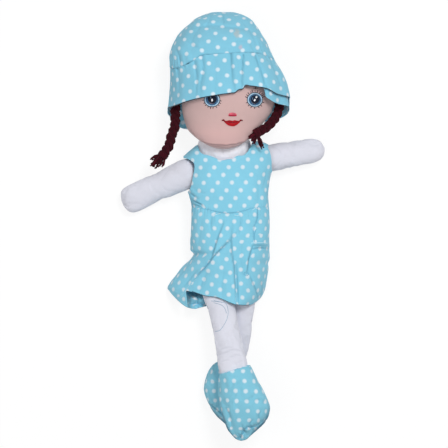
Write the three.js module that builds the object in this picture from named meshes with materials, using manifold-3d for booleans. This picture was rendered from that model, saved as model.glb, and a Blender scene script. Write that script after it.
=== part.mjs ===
// Rag doll lying on its back: X to the viewer's right, Y towards the head, Z up out of the face.
// Every length is in millimetres. Tables named shares give places as fractions of the named sizes.
import * as THREE from 'three';
import { mergeVertices } from 'three/addons/utils/BufferGeometryUtils.js';
import Module from 'manifold-3d';

const wasm = await Module();
wasm.setup();

// Cloth and clearances
const cloth = 1;
const dressCloth = 1.1;
const hatCloth = 1.2;
const facingCloth = 0.6;
const stitchHeight = 0.8;
const gap = 0.3;
const seamGap = 0.4;
const stuffingGap = 0.5;
const socketGap = 0.7;
const floorFlat = 0.5;
const overrun = 300;
const weldDistance = 0.0001;

// Driving sizes of the stuffed forms
const torso = { left: -34.5, width: 86.5, back: 1.6, depth: 56, bottom: -19.5, length: 112.5 };
const neck = { width: 57, rollWidth: 46, depth: 36, sink: 1, length: 9, axisZ: 30 };
const headSize = { width: 107.5, back: 2.5, depth: 87.5, length: 116 };
const arm = { length: 81, width: 32, depth: 25.6, ball: 26, tip: 14, tuft: 12.5 };
const leg = { length: 132, width: 34, depth: 25, ball: 30, ankleWidth: 28, ankleDepth: 23, ankleLap: 4 };
const boot = { length: 86, width: 57, depth: 38, toe: 6, soleFromEnd: 15 };
const neckCentreShare = 0.4277;
const headLeftShare = 0.4512;
const armMouthShare = 0.446;
const legMouthShare = 0.32;

// Driving sizes of the clothes
const dress = { waistUp: 40.5, leftEase: 3.5, rightEase: 5, frontEase: 1.8, top: 0.5, neckline: 29 };
const skirt = {
  hem: 114, flare: 25.5, rightTaper: 1.5, frontDip: 0.2, hemHeight: 52, edge: 2, foldDepth: 2.4, folds: 5,
};
const hat = {
  topSlack: 32.2, frontDip: 3, leftSlack: 14, rightSlack: 0.5,
  flareRight: 17.5, flareLeft: 3, flareFront: 11,
};
const brim = { mean: 58.5, sideways: 4.5, frontBack: 20.5, twofold: 4, foldDepth: 2.2, folds: 7 };
const hatSeamShare = 0.8276;
const necklineRiseShare = 0.4;
const facingStartShare = 0.08;

// Yarn, embroidery and their places
const braidWidth = 9.4;
const knot = { width: 13, length: 7 };
const tassel = { width: 11, length: 12 };
const rightEye = { width: 19.2, height: 17.4 };
const leftEye = { width: 17.4, height: 17.6 };
const nose = { width: 10, height: 4.8 };
const mouth = { width: 25, height: 7.6 };
const faceShares = {
  rightEye: [0.327, 0.385], leftEye: [0.791, 0.385], nose: [0.542, 0.244], mouth: [0.542, 0.157],
};

// Poses of the limbs: directions in degrees from +X, droop below or rise above the level
const rightArmPose = { turn: 204.2, rise: -12, roll: 0 };
const leftArmPose = { turn: 10, rise: -10, roll: 45 };
const rightLegPose = { turn: -77.4, rise: 15.4 };
const leftLegPose = { turn: -99.8, rise: -4.4 };
const rightBootPose = { turn: -84.7, rise: 0, lift: 0 };
const leftBootPose = { turn: -88, rise: 3.2, lift: 0.8 };
const soleTilt = 24;
const hipAxis = { bite: 3.1, z: 25, radius: 22.6, stripDepth: 13 };
const rightRoot = { out: 21.75, drop: 24.5 };
const leftRoot = { out: 22.25, drop: 14.5 };
const hipStripShare = 0.7;
const shoulderShares = { right: 0.6978, left: 0.8578 };

// Facets round each kind of piece
const sides = {
  torso: 14, head: 18, limb: 10, boot: 11, bodice: 20, skirt: 18, crown: 16, brim: 28, ball: 12, stitch: 12,
  braid: 10,
};
const steps = { torso: 8, head: 8, limb: 4, boot: 5, bodice: 6, crown: 5, brim: 3, skirt: 5 };

// Sections at chosen shares of the length: along, left, right, back, front
const torsoShares = [
  [0, 0.052, 0.954, 0.079, 0.829], [0.084, 0.017, 0.988, 0.025, 0.936], [0.218, 0, 1, 0, 0.989],
  [0.396, 0.012, 0.994, 0, 1], [0.529, 0.04, 0.983, 0, 1], [0.636, 0.069, 0.977, 0.007, 0.99],
  [0.707, 0.084, 0.908, 0.025, 0.963], [0.778, 0.089, 0.78, 0.061, 0.918],
  [0.858, 0.092, 0.702, 0.114, 0.864], [0.938, 0.098, 0.728, 0.168, 0.802], [1, 0.121, 0.717, 0.221, 0.748],
];
const headShares = [
  [0, 0.167, 0.716, 0.2, 0.749], [0.032, 0.135, 0.744, 0.143, 0.806], [0.118, 0.065, 0.819, 0.074, 0.897],
  [0.213, 0.023, 0.935, 0.023, 0.96], [0.351, 0, 1, 0, 0.994], [0.506, 0, 1, 0, 1],
  [0.678, 0.056, 0.94, 0.04, 0.954], [0.851, 0.205, 0.791, 0.166, 0.84],
  [0.946, 0.353, 0.651, 0.337, 0.669], [1, 0.484, 0.512, 0.486, 0.52],
];
const bodiceShares = [
  [0, 0.016, 0.989, 0, 0.997], [0.166, 0.005, 0.995, 0, 1], [0.331, 0, 1, 0, 0.997],
  [0.497, 0, 1, 0, 0.99], [0.648, 0, 1, 0.025, 0.943], [0.772, 0.005, 1, 0.083, 0.89],
  [0.897, 0.053, 0.968, 0.125, 0.826], [1, 0.1, 0.747, 0.175, 0.768],
];
const crownShares = [
  [0, 0, 1, 0, 1], [0.17, 0.012, 0.967, 0, 0.971], [0.32, 0.033, 0.926, 0.017, 0.931],
  [0.57, 0.107, 0.869, 0.074, 0.84], [0.745, 0.189, 0.811, 0.143, 0.76],
  [0.86, 0.262, 0.754, 0.211, 0.691], [0.956, 0.369, 0.656, 0.326, 0.577], [1, 0.492, 0.533, 0.463, 0.486],
];
// Boot sections: along, half width, toe offset, half depth
const bootShares = [
  [0, 0.58, 0, 0.69], [0.1, 0.68, 0.3, 0.77], [0.26, 0.85, 0.8, 0.9], [0.45, 0.98, 1, 1],
  [0.62, 1, 0.9, 1], [0.76, 0.88, 0.5, 0.9], [0.84, 0.7, 0.2, 0.74],
];
// Limb sections: along, how far from the root's ball to the full section, width, depth
const armShares = [
  [0, 0, 1, 1], [0.14, 0.35, 1, 1], [0.36, 0.9, 0.98, 0.99], [0.6, 1, 0.96, 0.98], [0.83, 1, 1, 1],
];
const legShares = [
  [0, 0, 1, 1], [0.1, 0.4, 1, 1], [0.3, 1, 1, 1], [0.65, 1, 0.93, 0.96],
  [1, 1, leg.ankleWidth / leg.width, leg.ankleDepth / leg.depth],
];
const skirtHemShares = [0.79, 0.845, 0.885, 0.93, 0.985, 1, 0.985, 0.9];
const skirtBackHemShares = [0.79, 1.0, 1.027, 1.022, 1.01, 0.99, 0.96, 0.9];
const skirtFlareShares = [0, 0.01, 0.02, 0.04, 0.1, 0.38, 1];
const skirtSeamShares = [1, 0.9, 0.7, 0.4, 0.15, 0.03, 0];
const tieShares = [[0, 0], [0.8, 0], [1, 0.4], [0.8, 1], [0, 1]];
const tasselShares = [[0, 0], [0.55, 0], [0.9, 0.6], [0.75, 1], [0, 1]];
const leastHalfShare = 0.2;
const domeAngles = [6, 32, 60];

// How square each kind of section is: 2 is an ellipse
const squareness = { torso: 2.3, head: 2.1, crown: 2.15, bodice: 2.6 };
const skirtSquareness = { frontWaist: 2.9, frontHem: 2, backWaist: 3, backHem: 4 };
const roughness = { cotton: 0.9, embroidery: 0.6, loose: 1 };

// Points of a section: a rounded oval, squarer where the power is higher
function oval(middle, half, angle, power) {
  const cos = Math.cos(angle);
  const sin = Math.sin(angle);
  const x = middle.x + half.x * Math.sign(cos) * Math.abs(cos) ** (2 / power);
  const z = middle.z + half.z * Math.sign(sin) * Math.abs(sin) ** (2 / power);
  return { x, z };
}

function ovalRing(y, middle, half, count, power = 2) {
  const ring = [];
  for (let i = 0; i < count; i++) {
    const { x, z } = oval(middle, half, (2 * Math.PI * i) / count, power);
    ring.push(new THREE.Vector3(x, y, z));
  }
  return ring;
}

// Smooth value of a table's rows at a share of its whole run
function smoothRow(rows, share) {
  const place = share * (rows.length - 1);
  const from = Math.min(Math.floor(place), rows.length - 2);
  const t = place - from;
  const row = (i) => rows[Math.max(0, Math.min(rows.length - 1, i))];
  return row(from).map((value, column) => {
    const [a, b, c, d] = [row(from - 1)[column], value, row(from + 1)[column], row(from + 2)[column]];
    return b + 0.5 * t * (c - a + t * (2 * a - 5 * b + 4 * c - d + t * (3 * (b - c) + d - a)));
  });
}

function smooth(values, share) {
  return smoothRow(values.map((value) => [value]), share)[0];
}

function between(a, b, share) {
  return a + (b - a) * share;
}

// Body over shared points, its triangles turned to face outwards
function faceted(points, index) {
  let volume = 0;
  for (let i = 0; i < index.length; i += 3) {
    const [a, b, c] = [points[index[i]], points[index[i + 1]], points[index[i + 2]]];
    volume += a.dot(b.clone().cross(c));
  }
  const geometry = new THREE.BufferGeometry();
  geometry.setFromPoints(points);
  geometry.setIndex(volume < 0 ? [...index].reverse() : index);
  return geometry;
}

function centreOf(ring) {
  return ring.reduce((sum, point) => sum.add(point), new THREE.Vector3()).divideScalar(ring.length);
}

// Body over a chain of rings, closed by a fan at each end, or joined on itself
function loft(chain, joined = false) {
  const count = chain[0].length;
  const points = chain.flat();
  const index = [];
  const rows = joined ? chain.length : chain.length - 1;
  for (let row = 0; row < rows; row++) {
    const next = (row + 1) % chain.length;
    for (let i = 0; i < count; i++) {
      const j = (i + 1) % count;
      index.push(row * count + i, row * count + j, next * count + j);
      index.push(row * count + i, next * count + j, next * count + i);
    }
  }
  if (!joined) {
    const ends = [0, chain.length - 1];
    for (const end of ends) {
      points.push(centreOf(chain[end]));
      for (let i = 0; i < count; i++) {
        const edge = [end * count + i, end * count + ((i + 1) % count)];
        index.push(points.length - 1, ...(end ? edge : edge.reverse()));
      }
    }
  }
  return faceted(points, index);
}

// Sheet between two grids of points, with its four edges closed
function sheet(outer, inner) {
  const [rows, count] = [outer.length, outer[0].length];
  const points = [...outer.flat(), ...inner.flat()];
  const index = [];
  const far = rows * count;
  const quad = (a, b, c, d) => index.push(a, b, c, a, c, d);
  for (let row = 0; row < rows - 1; row++) {
    for (let i = 0; i < count - 1; i++) {
      const a = row * count + i;
      quad(a, a + 1, a + 1 + count, a + count);
      quad(far + a, far + a + count, far + a + 1 + count, far + a + 1);
    }
  }
  for (let i = 0; i < count - 1; i++) {
    const last = (rows - 1) * count + i;
    quad(i + 1, i, far + i, far + i + 1);
    quad(last, last + 1, far + last + 1, far + last);
  }
  for (let row = 0; row < rows - 1; row++) {
    const left = row * count;
    const right = left + count - 1;
    quad(left, left + count, far + left + count, far + left);
    quad(right + count, right, far + right, far + right + count);
  }
  return faceted(points, index);
}

// Solids for cutting and joining
function solid(geometry, matrix) {
  const bare = geometry.clone();
  bare.deleteAttribute('normal');
  bare.deleteAttribute('uv');
  if (matrix) bare.applyMatrix4(matrix);
  const merged = mergeVertices(bare, weldDistance);
  const vertProperties = new Float32Array(merged.attributes.position.array);
  const triVerts = new Uint32Array(merged.index.array);
  return new wasm.Manifold(new wasm.Mesh({ numProp: 3, vertProperties, triVerts }));
}

function meshed(body) {
  const { vertProperties, triVerts } = body.getMesh();
  const geometry = new THREE.BufferGeometry();
  geometry.setAttribute('position', new THREE.BufferAttribute(vertProperties, 3));
  geometry.setIndex(new THREE.BufferAttribute(triVerts, 1));
  return geometry;
}

function less(body, ...cutters) {
  return cutters.reduce((rest, cutter) => rest.subtract(cutter), body);
}

function ballAt(centre, radius) {
  const ball = new THREE.SphereGeometry(radius, 2 * sides.ball, sides.ball);
  return solid(ball.translate(centre.x, centre.y, centre.z));
}

function barAlongX(centre, radius, length) {
  const bar = new THREE.CylinderGeometry(radius, radius, length, 2 * sides.ball);
  return solid(bar.rotateZ(Math.PI / 2).translate(centre.x, centre.y, centre.z));
}

// Half space: everything from the plane outwards along the direction
function beyond(point, direction) {
  const box = new THREE.BoxGeometry(2 * overrun, 2 * overrun, overrun).translate(0, 0, overrun / 2);
  const turn = new THREE.Quaternion().setFromUnitVectors(up, direction);
  return solid(box.applyQuaternion(turn).translate(point.x, point.y, point.z));
}

const origin = new THREE.Vector3();
const up = new THREE.Vector3(0, 0, 1);
const down = new THREE.Vector3(0, 0, -1);
const forth = new THREE.Vector3(0, 1, 0);
const back = new THREE.Vector3(0, -1, 0);
const atY = (y) => new THREE.Vector3(0, y, 0);
const atZ = (z) => new THREE.Vector3(0, 0, z);
const underFloor = beyond(origin, down);

// Stuffed form with its sections set by shares of a box, drawn in by an inset also at its closed ends
function formRings(size, shares, { count, rings, power, inset = 0, closedEnds = 1 }) {
  const length = size.length - inset * closedEnds;
  const foot = size.bottom + (closedEnds === 2 ? inset : 0);
  const chain = [];
  for (let i = 0; i <= rings; i++) {
    const [along, left, right, back, front] = smoothRow(shares, i / rings);
    const y = foot + along * length;
    const middle = {
      x: size.left + (size.width * (left + right)) / 2,
      z: size.back + (size.depth * (back + front)) / 2,
    };
    const wide = (size.width * (right - left)) / 2;
    const deep = (size.depth * (front - back)) / 2;
    const half = {
      x: Math.max(wide - inset, wide * leastHalfShare),
      z: Math.max(deep - inset, deep * leastHalfShare),
    };
    chain.push(ovalRing(y, middle, half, count, power));
  }
  return chain;
}

function form(size, shares, options) {
  return solid(loft(formRings(size, shares, options)));
}

// Limb along +Y from its ball at the origin; a tip of zero leaves a flat end
function limbRings(size, shares, inset) {
  const ball = size.ball / 2 - inset;
  const chain = domeAngles.map((angle) => {
    const reach = ball * Math.cos(THREE.MathUtils.degToRad(angle));
    const radius = ball * Math.sin(THREE.MathUtils.degToRad(angle));
    return ovalRing(-reach, origin, { x: radius, z: radius }, sides.limb);
  });
  let last;
  for (let i = 0; i <= steps.limb; i++) {
    const [along, grown, wide, deep] = smoothRow(shares, i / steps.limb);
    last = {
      x: between(size.ball / 2, (size.width / 2) * wide, grown) - inset,
      z: between(size.ball / 2, (size.depth / 2) * deep, grown) - inset,
    };
    chain.push(ovalRing(size.length * along, origin, last, sides.limb));
  }
  if (size.tip) {
    const start = size.length * shares.at(-1)[0];
    for (const angle of [...domeAngles].reverse()) {
      const reach = (size.length - start - inset) * Math.cos(THREE.MathUtils.degToRad(angle));
      const share = Math.sin(THREE.MathUtils.degToRad(angle));
      chain.push(ovalRing(start + reach, origin, { x: last.x * share, z: last.z * share }, sides.limb));
    }
  }
  return chain;
}

function limb(size, shares, inset = 0) {
  return solid(loft(limbRings(size, shares, inset)));
}

// Boot along +Y from the ankle, its toe swung to the side given by its sign
function bootForm(toeSide, inset = 0) {
  const chain = [];
  let last;
  for (let i = 0; i <= steps.boot; i++) {
    const [along, wide, toe, deep] = smoothRow(bootShares, i / steps.boot);
    last = {
      y: boot.length * along,
      middle: { x: toeSide * boot.toe * toe, z: 0 },
      half: { x: (boot.width / 2) * wide - inset, z: (boot.depth / 2) * deep - inset },
    };
    chain.push(ovalRing(last.y, last.middle, last.half, sides.boot));
  }
  for (const angle of [...domeAngles].reverse()) {
    const reach = (boot.length - last.y - inset) * Math.cos(THREE.MathUtils.degToRad(angle));
    const share = Math.sin(THREE.MathUtils.degToRad(angle));
    const half = { x: last.half.x * share, z: last.half.z * share };
    chain.push(ovalRing(last.y + reach, last.middle, half, sides.boot));
  }
  return solid(loft(chain));
}

// Materials from the photograph
function textile(color, rough) {
  return new THREE.MeshStandardMaterial({ color, roughness: rough, metalness: 0 });
}

const dottedCotton = () => textile('#88cde4', roughness.cotton);
const whiteCotton = () => textile('#dcdde8', roughness.cotton);
const skinCotton = () => textile('#d0afae', roughness.cotton);
const fibrefill = () => textile('#f4f4f2', roughness.loose);
const maroonYarn = () => textile('#320f16', roughness.loose);

const doll = new THREE.Group();

function place(parent, position, direction) {
  const group = new THREE.Group();
  group.position.copy(position);
  if (direction) {
    group.rotation.order = 'ZXY';
    const { turn, rise, roll = 0 } = direction;
    group.rotation.z = THREE.MathUtils.degToRad(turn - 90);
    group.rotation.x = THREE.MathUtils.degToRad(rise);
    group.rotation.y = THREE.MathUtils.degToRad(roll);
  }
  parent.add(group);
  group.updateMatrixWorld(true);
  return group;
}

// Adds a piece whose body is given in the group's own space
function add(group, name, body, material) {
  const geometry = body.isBufferGeometry ? body : meshed(body);
  geometry.computeVertexNormals();
  const mesh = new THREE.Mesh(geometry, material);
  mesh.name = name;
  group.add(mesh);
  return mesh;
}

function inWorld(body, group) {
  return solid(meshed(body), group.matrixWorld);
}

function inGroup(body, group) {
  return solid(meshed(body), group.matrixWorld.clone().invert());
}

// Where a table's rows reach a share of the length
function shareAlong(rows, along) {
  let i = 0;
  while (i < rows.length - 2 && rows[i + 1][0] < along) i++;
  return (i + (along - rows[i][0]) / (rows[i + 1][0] - rows[i][0])) / (rows.length - 1);
}

// Shoulders, one on each side of the torso
const seamRadius = arm.ball / 2 + socketGap + cloth + seamGap;
const socketRadius = seamRadius + stuffingGap;

function shoulderAt(along, column, sign) {
  const side = smoothRow(torsoShares, shareAlong(torsoShares, along))[column];
  const x = torso.left + torso.width * side + sign * socketRadius;
  return new THREE.Vector3(x, torso.bottom + torso.length * along, torso.depth / 2);
}

const rightShoulder = shoulderAt(shoulderShares.right, 1, -1);
const leftShoulder = shoulderAt(shoulderShares.left, 2, 1);

// Arms, each on a tuft of gathered seam
const armMouth = beyond(atY(-arm.ball * armMouthShare), back);

function addArm(side, pivot, pose) {
  const shoulder = place(doll, pivot, { turn: pose.turn, rise: 0 });
  const elbow = place(shoulder, origin, { turn: 90, rise: pose.rise, roll: pose.roll });
  const shell = less(ballAt(origin, seamRadius), ballAt(origin, arm.ball / 2 + socketGap));
  const tuft = new THREE.CylinderGeometry(arm.tuft / 2, arm.tuft / 2, arm.ball, sides.stitch);
  const root = solid(tuft.translate(0, -arm.ball / 2, 0));
  add(shoulder, `${side}_shoulder_seam`, shell.intersect(root), whiteCotton());
  const skin = less(limb(arm, armShares), limb(arm, armShares, cloth), armMouth);
  add(elbow, `${side}_arm_skin`, skin, whiteCotton());
  add(elbow, `${side}_arm_stuffing`, limb(arm, armShares, cloth + stuffingGap), fibrefill());
  return inWorld(limb(arm, armShares, -socketGap), elbow);
}

const rightArmSpace = addArm('right', rightShoulder, rightArmPose);
const leftArmSpace = addArm('left', leftShoulder, leftArmPose);

// Torso, cut by the neck's roll, the hip's roll and both shoulder sockets
const hipY = torso.bottom + hipAxis.bite - hipAxis.radius;
const hipCentre = new THREE.Vector3(torso.left + torso.width / 2, hipY, hipAxis.z);
const neckX = torso.left + torso.width * neckCentreShare;
const neckY = torso.bottom + torso.length - neck.sink;
const neckCentre = new THREE.Vector3(neckX, neckY, neck.axisZ);
const sideSeamZ = torso.back + torso.depth / 2;
const overSeam = (z) => beyond(atZ(z - gap / 2), up);
const underSeam = (z) => beyond(atZ(z + gap / 2), down);
const torsoCuts = [
  barAlongX(hipCentre, hipAxis.radius + seamGap, overrun),
  barAlongX(neckCentre, neck.depth / 2 + seamGap, overrun),
  ballAt(rightShoulder, socketRadius),
  ballAt(leftShoulder, socketRadius),
];

function addTorso() {
  const options = { count: sides.torso, rings: steps.torso, power: squareness.torso };
  const hollow = form(torso, torsoShares, { ...options, inset: cloth });
  const skin = less(form(torso, torsoShares, options), hollow);
  const cutSkin = less(skin, ...torsoCuts);
  add(doll, 'torso_front_panel', less(cutSkin, underSeam(sideSeamZ)), whiteCotton());
  add(doll, 'torso_back_panel', less(cutSkin, overSeam(sideSeamZ)), whiteCotton());
  const stuffing = form(torso, torsoShares, { ...options, inset: cloth + stuffingGap, closedEnds: 2 });
  add(doll, 'torso_stuffing', less(stuffing, ...torsoCuts), fibrefill());
}
addTorso();

// Neck: a roll across the torso's top that ends flat under the head
function addNeck() {
  const top = neckY + neck.length;
  const foot = neckY - neck.depth / 2;
  const ring = (y, wide, inset) => {
    const half = { x: wide / 2 - inset, z: neck.depth / 2 - inset };
    return ovalRing(y, { x: neckX, z: neck.axisZ }, half, sides.torso);
  };
  const block = (inset) => solid(loft([
    ring(foot, neck.rollWidth, inset), ring(neckY, neck.rollWidth, inset), ring(top, neck.width, inset),
  ]));
  const upper = beyond(neckCentre, forth);
  const roll = (inset) => barAlongX(neckCentre, neck.depth / 2 - inset, overrun);
  const shape = (inset) => block(inset).intersect(roll(inset).add(upper));
  const openTop = block(cloth).intersect(beyond(atY(top - cloth), forth));
  add(doll, 'neck_skin', less(shape(0), shape(cloth), openTop), whiteCotton());
  const overTop = beyond(atY(top - stuffingGap), forth);
  add(doll, 'neck_stuffing', less(shape(cloth + stuffingGap), overTop), fibrefill());
}
addNeck();

// Head: face and back panels over the stuffing, with the embroidery on the face
const head = {
  ...headSize,
  left: neckX - headSize.width * headLeftShare,
  bottom: neckY + neck.length + gap,
};
const headSeamZ = head.back + head.depth / 2;
const headOptions = { count: sides.head, rings: steps.head, power: squareness.head };

function headForm(inset, closedEnds = 1) {
  return form(head, headShares, { ...headOptions, inset, closedEnds });
}

function addHead() {
  const skin = less(headForm(0), headForm(cloth));
  add(doll, 'face_panel', less(skin, underSeam(headSeamZ)), skinCotton());
  add(doll, 'head_back_panel', less(skin, overSeam(headSeamZ)), skinCotton());
  add(doll, 'head_stuffing', headForm(cloth + stuffingGap, 2), fibrefill());
}

function addEmbroidery(name, { width, height }, [across, along], color) {
  const disc = new THREE.CylinderGeometry(1, 1, overrun, sides.stitch).rotateX(Math.PI / 2);
  disc.scale(width / 2, height / 2, 1);
  disc.translate(head.left + head.width * across, head.bottom + head.length * along, headSeamZ + overrun / 2);
  const patch = headForm(-gap - stitchHeight).intersect(solid(disc));
  add(doll, name, less(patch, headForm(-gap)), textile(color, roughness.embroidery));
}
addHead();
addEmbroidery('right_eye', rightEye, faceShares.rightEye, '#3c6ea0');
addEmbroidery('left_eye', leftEye, faceShares.leftEye, '#3c6ea0');
addEmbroidery('nose', nose, faceShares.nose, '#d98a92');
addEmbroidery('mouth', mouth, faceShares.mouth, '#b3202c');

// Braids: tubes from the head's sides, with a knot and a tassel at each end
const rightBraidRoute = [
  [-51.3, 153, 47], [-53, 141, 47.5], [-53.6, 128, 48], [-54, 114.8, 48], [-58, 103.8, 48],
  [-60.6, 93, 48], [-65.5, 85, 47.5],
];
const leftBraidRoute = [
  [67, 151, 47], [67.4, 143, 48], [65.5, 131.7, 50], [60, 121.5, 53], [51.5, 113, 57.5], [43, 108, 61.5],
];

function routeCurve(points) {
  return new THREE.CatmullRomCurve3(points.map(([x, y, z]) => new THREE.Vector3(x, y, z)));
}

function addBraid(side, points) {
  const curve = routeCurve(points);
  const section = new THREE.Shape();
  section.absarc(0, 0, braidWidth / 2, 0, 2 * Math.PI);
  const length = curve.getLength();
  const stepCount = Math.ceil(length / braidWidth);
  const options = { extrudePath: curve, steps: stepCount, curveSegments: sides.braid, bevelEnabled: false };
  add(doll, `${side}_braid`, solid(new THREE.ExtrudeGeometry(section, options)), maroonYarn());
  const end = curve.getPoint(1);
  const along = curve.getTangent(1);
  const turn = new THREE.Quaternion().setFromUnitVectors(forth, along);
  const frame = new THREE.Matrix4().compose(end, turn, new THREE.Vector3(1, 1, 1));
  const tasselStart = knot.length + 2 * gap;
  add(doll, `${side}_braid_tie`, turnedPiece(tieShares, knot, gap, frame), maroonYarn());
  add(doll, `${side}_braid_tassel`, turnedPiece(tasselShares, tassel, tasselStart, frame), maroonYarn());
}

function turnedPiece(shares, size, start, frame) {
  const profile = shares.map(([out, along]) => {
    return new THREE.Vector2((out * size.width) / 2, start + along * size.length);
  });
  return solid(new THREE.LatheGeometry(profile, sides.braid), frame);
}
addBraid('right', rightBraidRoute);
addBraid('left', leftBraidRoute);

// Hat: a gathered crown, a flared brim and the brim's facing inside
const hatFront = head.back + head.depth - hat.frontDip;
const hatSeamY = head.bottom + head.length * hatSeamShare;
const crownBox = {
  left: head.left - hat.leftSlack,
  width: head.width + hat.leftSlack + hat.rightSlack,
  back: -floorFlat,
  depth: hatFront + floorFlat,
  bottom: hatSeamY,
  length: head.bottom + head.length + hat.topSlack - hatSeamY,
};

function addCrown() {
  const options = { count: sides.crown, rings: steps.crown, power: squareness.crown };
  const outer = form(crownBox, crownShares, options);
  const inner = form(crownBox, crownShares, { ...options, inset: hatCloth });
  add(doll, 'hat_crown', less(outer, inner, underFloor), dottedCotton());
}

function brimRing(share, inset) {
  const ring = [];
  const seam = hatSeamY - gap;
  const left = crownBox.left - hat.flareLeft * share ** 2;
  const right = crownBox.left + crownBox.width + hat.flareRight * share;
  const front = hatFront + hat.flareFront * share;
  const middle = { x: (left + right) / 2, z: (front - floorFlat) / 2 };
  const half = { x: (right - left) / 2 - inset, z: (front + floorFlat) / 2 - inset };
  for (let i = 0; i < sides.brim; i++) {
    const angle = (2 * Math.PI * i) / sides.brim;
    const raised = (1 + Math.sin(angle)) / 2;
    const fold = brim.foldDepth * share * raised * Math.sin(brim.folds * angle);
    const { x, z } = oval(middle, { x: half.x + fold, z: half.z + fold }, angle, squareness.crown);
    const drop = brim.mean - brim.sideways * Math.cos(angle) - brim.frontBack * Math.sin(angle);
    const y = seam - share * (drop - brim.twofold * Math.cos(2 * angle));
    ring.push(new THREE.Vector3(x, y, z));
  }
  return ring;
}

function brimLayer(inset, wall, from) {
  const shares = [];
  for (let i = 0; i <= steps.brim; i++) shares.push(between(from, 1, i / steps.brim));
  const outer = shares.map((share) => brimRing(share, inset));
  const inner = shares.reverse().map((share) => brimRing(share, inset + wall));
  return less(solid(loft([...outer, ...inner], true)), underFloor);
}
addCrown();
add(doll, 'hat_brim', brimLayer(0, hatCloth, 0), dottedCotton());
const facingInset = hatCloth + stuffingGap;
add(doll, 'hat_brim_facing', brimLayer(facingInset, facingCloth, facingStartShare), dottedCotton());

// Hip seam strip: rolls in the torso's bottom and seats the roots of both legs
const rightHip = new THREE.Vector3(hipCentre.x - rightRoot.out, torso.bottom - rightRoot.drop, hipAxis.z);
const leftHip = new THREE.Vector3(hipCentre.x + leftRoot.out, torso.bottom - leftRoot.drop, hipAxis.z);
const legSocket = leg.ball / 2 + socketGap;

function addHipStrip() {
  const roll = barAlongX(hipCentre, hipAxis.radius, torso.width * hipStripShare);
  const lower = beyond(atY(hipY + hipAxis.radius - hipAxis.stripDepth), back);
  const strip = less(roll, lower, ballAt(rightHip, legSocket), ballAt(leftHip, legSocket), underFloor);
  add(doll, 'hip_seam_strip', strip, whiteCotton());
}
addHipStrip();

// Legs, each reaching to its boot
const legMouth = beyond(atY(-leg.ball * legMouthShare), back);

function addLeg(side, pivot, pose, bootPose, toeSide) {
  const hip = place(doll, pivot, pose);
  const ankle = atY(leg.length - leg.ankleLap).applyMatrix4(hip.matrixWorld);
  ankle.z += bootPose.lift;
  const foot = place(doll, ankle, bootPose);
  const bootSpace = inGroup(inWorld(bootForm(toeSide, -gap), foot), hip);
  const skin = less(limb(leg, legShares), limb(leg, legShares, cloth), legMouth, bootSpace);
  add(hip, `${side}_leg_skin`, skin, whiteCotton());
  const fill = less(limb(leg, legShares, cloth + stuffingGap), bootSpace);
  add(hip, `${side}_leg_stuffing`, fill, fibrefill());
  addBoot(side, foot, toeSide);
}

// Boot: an upper and a sole that meet at a slanted seam
function addBoot(side, foot, toeSide) {
  const floor = inGroup(underFloor, foot);
  const overAnkle = beyond(atY(gap), back);
  const shell = less(bootForm(toeSide), bootForm(toeSide, cloth), floor, overAnkle);
  const tilt = THREE.MathUtils.degToRad(soleTilt);
  const slope = new THREE.Vector3(toeSide * Math.sin(tilt), Math.cos(tilt), 0);
  const seam = atY(boot.length - boot.soleFromEnd);
  const soleSeam = seam.clone().addScaledVector(slope, gap);
  add(foot, `${side}_boot_upper`, less(shell, beyond(seam, slope)), dottedCotton());
  add(foot, `${side}_boot_sole`, less(shell, beyond(soleSeam, slope.clone().negate())), dottedCotton());
  const fill = less(bootForm(toeSide, cloth + stuffingGap), overAnkle, floor);
  add(foot, `${side}_boot_stuffing`, fill, fibrefill());
}
addLeg('right', rightHip, rightLegPose, rightBootPose, -1);
addLeg('left', leftHip, leftLegPose, leftBootPose, 1);

// Bodice, cut into front and back at the side seams, with armholes and neckline
const waistY = torso.bottom + dress.waistUp;
const dressFront = torso.back + torso.depth + dress.frontEase;
const bodiceBox = {
  left: torso.left - dress.leftEase,
  width: torso.width + dress.leftEase + dress.rightEase,
  back: -floorFlat,
  depth: dressFront + floorFlat,
  bottom: waistY,
  length: torso.length - dress.waistUp + dress.top,
};

function addBodice() {
  const options = { count: sides.bodice, rings: steps.bodice, power: squareness.bodice, closedEnds: 0 };
  const outer = formRings(bodiceBox, bodiceShares, options);
  const inner = formRings(bodiceBox, bodiceShares, { ...options, inset: dressCloth });
  const tube = solid(loft([...outer, ...inner.reverse()], true));
  const neckline = new THREE.CylinderGeometry(dress.neckline, dress.neckline, overrun, 2 * sides.ball);
  const neckCutY = bodiceBox.bottom + bodiceBox.length + dress.neckline * necklineRiseShare;
  neckline.rotateX(Math.PI / 2).translate(neckX, neckCutY, sideSeamZ + overrun / 2);
  const armholes = [rightShoulder, leftShoulder].map((shoulder) => ballAt(shoulder, socketRadius));
  const cut = less(tube, underFloor, rightArmSpace, leftArmSpace, ...armholes, solid(neckline));
  add(doll, 'bodice_front', less(cut, underSeam(sideSeamZ)), dottedCotton());
  add(doll, 'bodice_back', less(cut, overSeam(sideSeamZ)), dottedCotton());
}
addBodice();

// Skirt: a front draped over the legs and a back that flattens on to the floor
const skirtTop = waistY - gap;

function skirtSection(share) {
  const [, leftShare, rightShare] = bodiceShares[0];
  const flare = skirt.flare * smooth(skirtFlareShares, share);
  const left = bodiceBox.left + bodiceBox.width * leftShare - flare;
  const right = bodiceBox.left + bodiceBox.width * rightShare - skirt.rightTaper * share;
  const seam = between(skirt.edge, sideSeamZ, smooth(skirtSeamShares, share));
  const top = between(dressFront - skirt.frontDip, skirt.hemHeight, share);
  const frontPower = between(skirtSquareness.frontWaist, skirtSquareness.frontHem, share);
  const backPower = between(skirtSquareness.backWaist, skirtSquareness.backHem, share);
  return { left, right, seam, top, frontPower, backPower };
}

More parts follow.
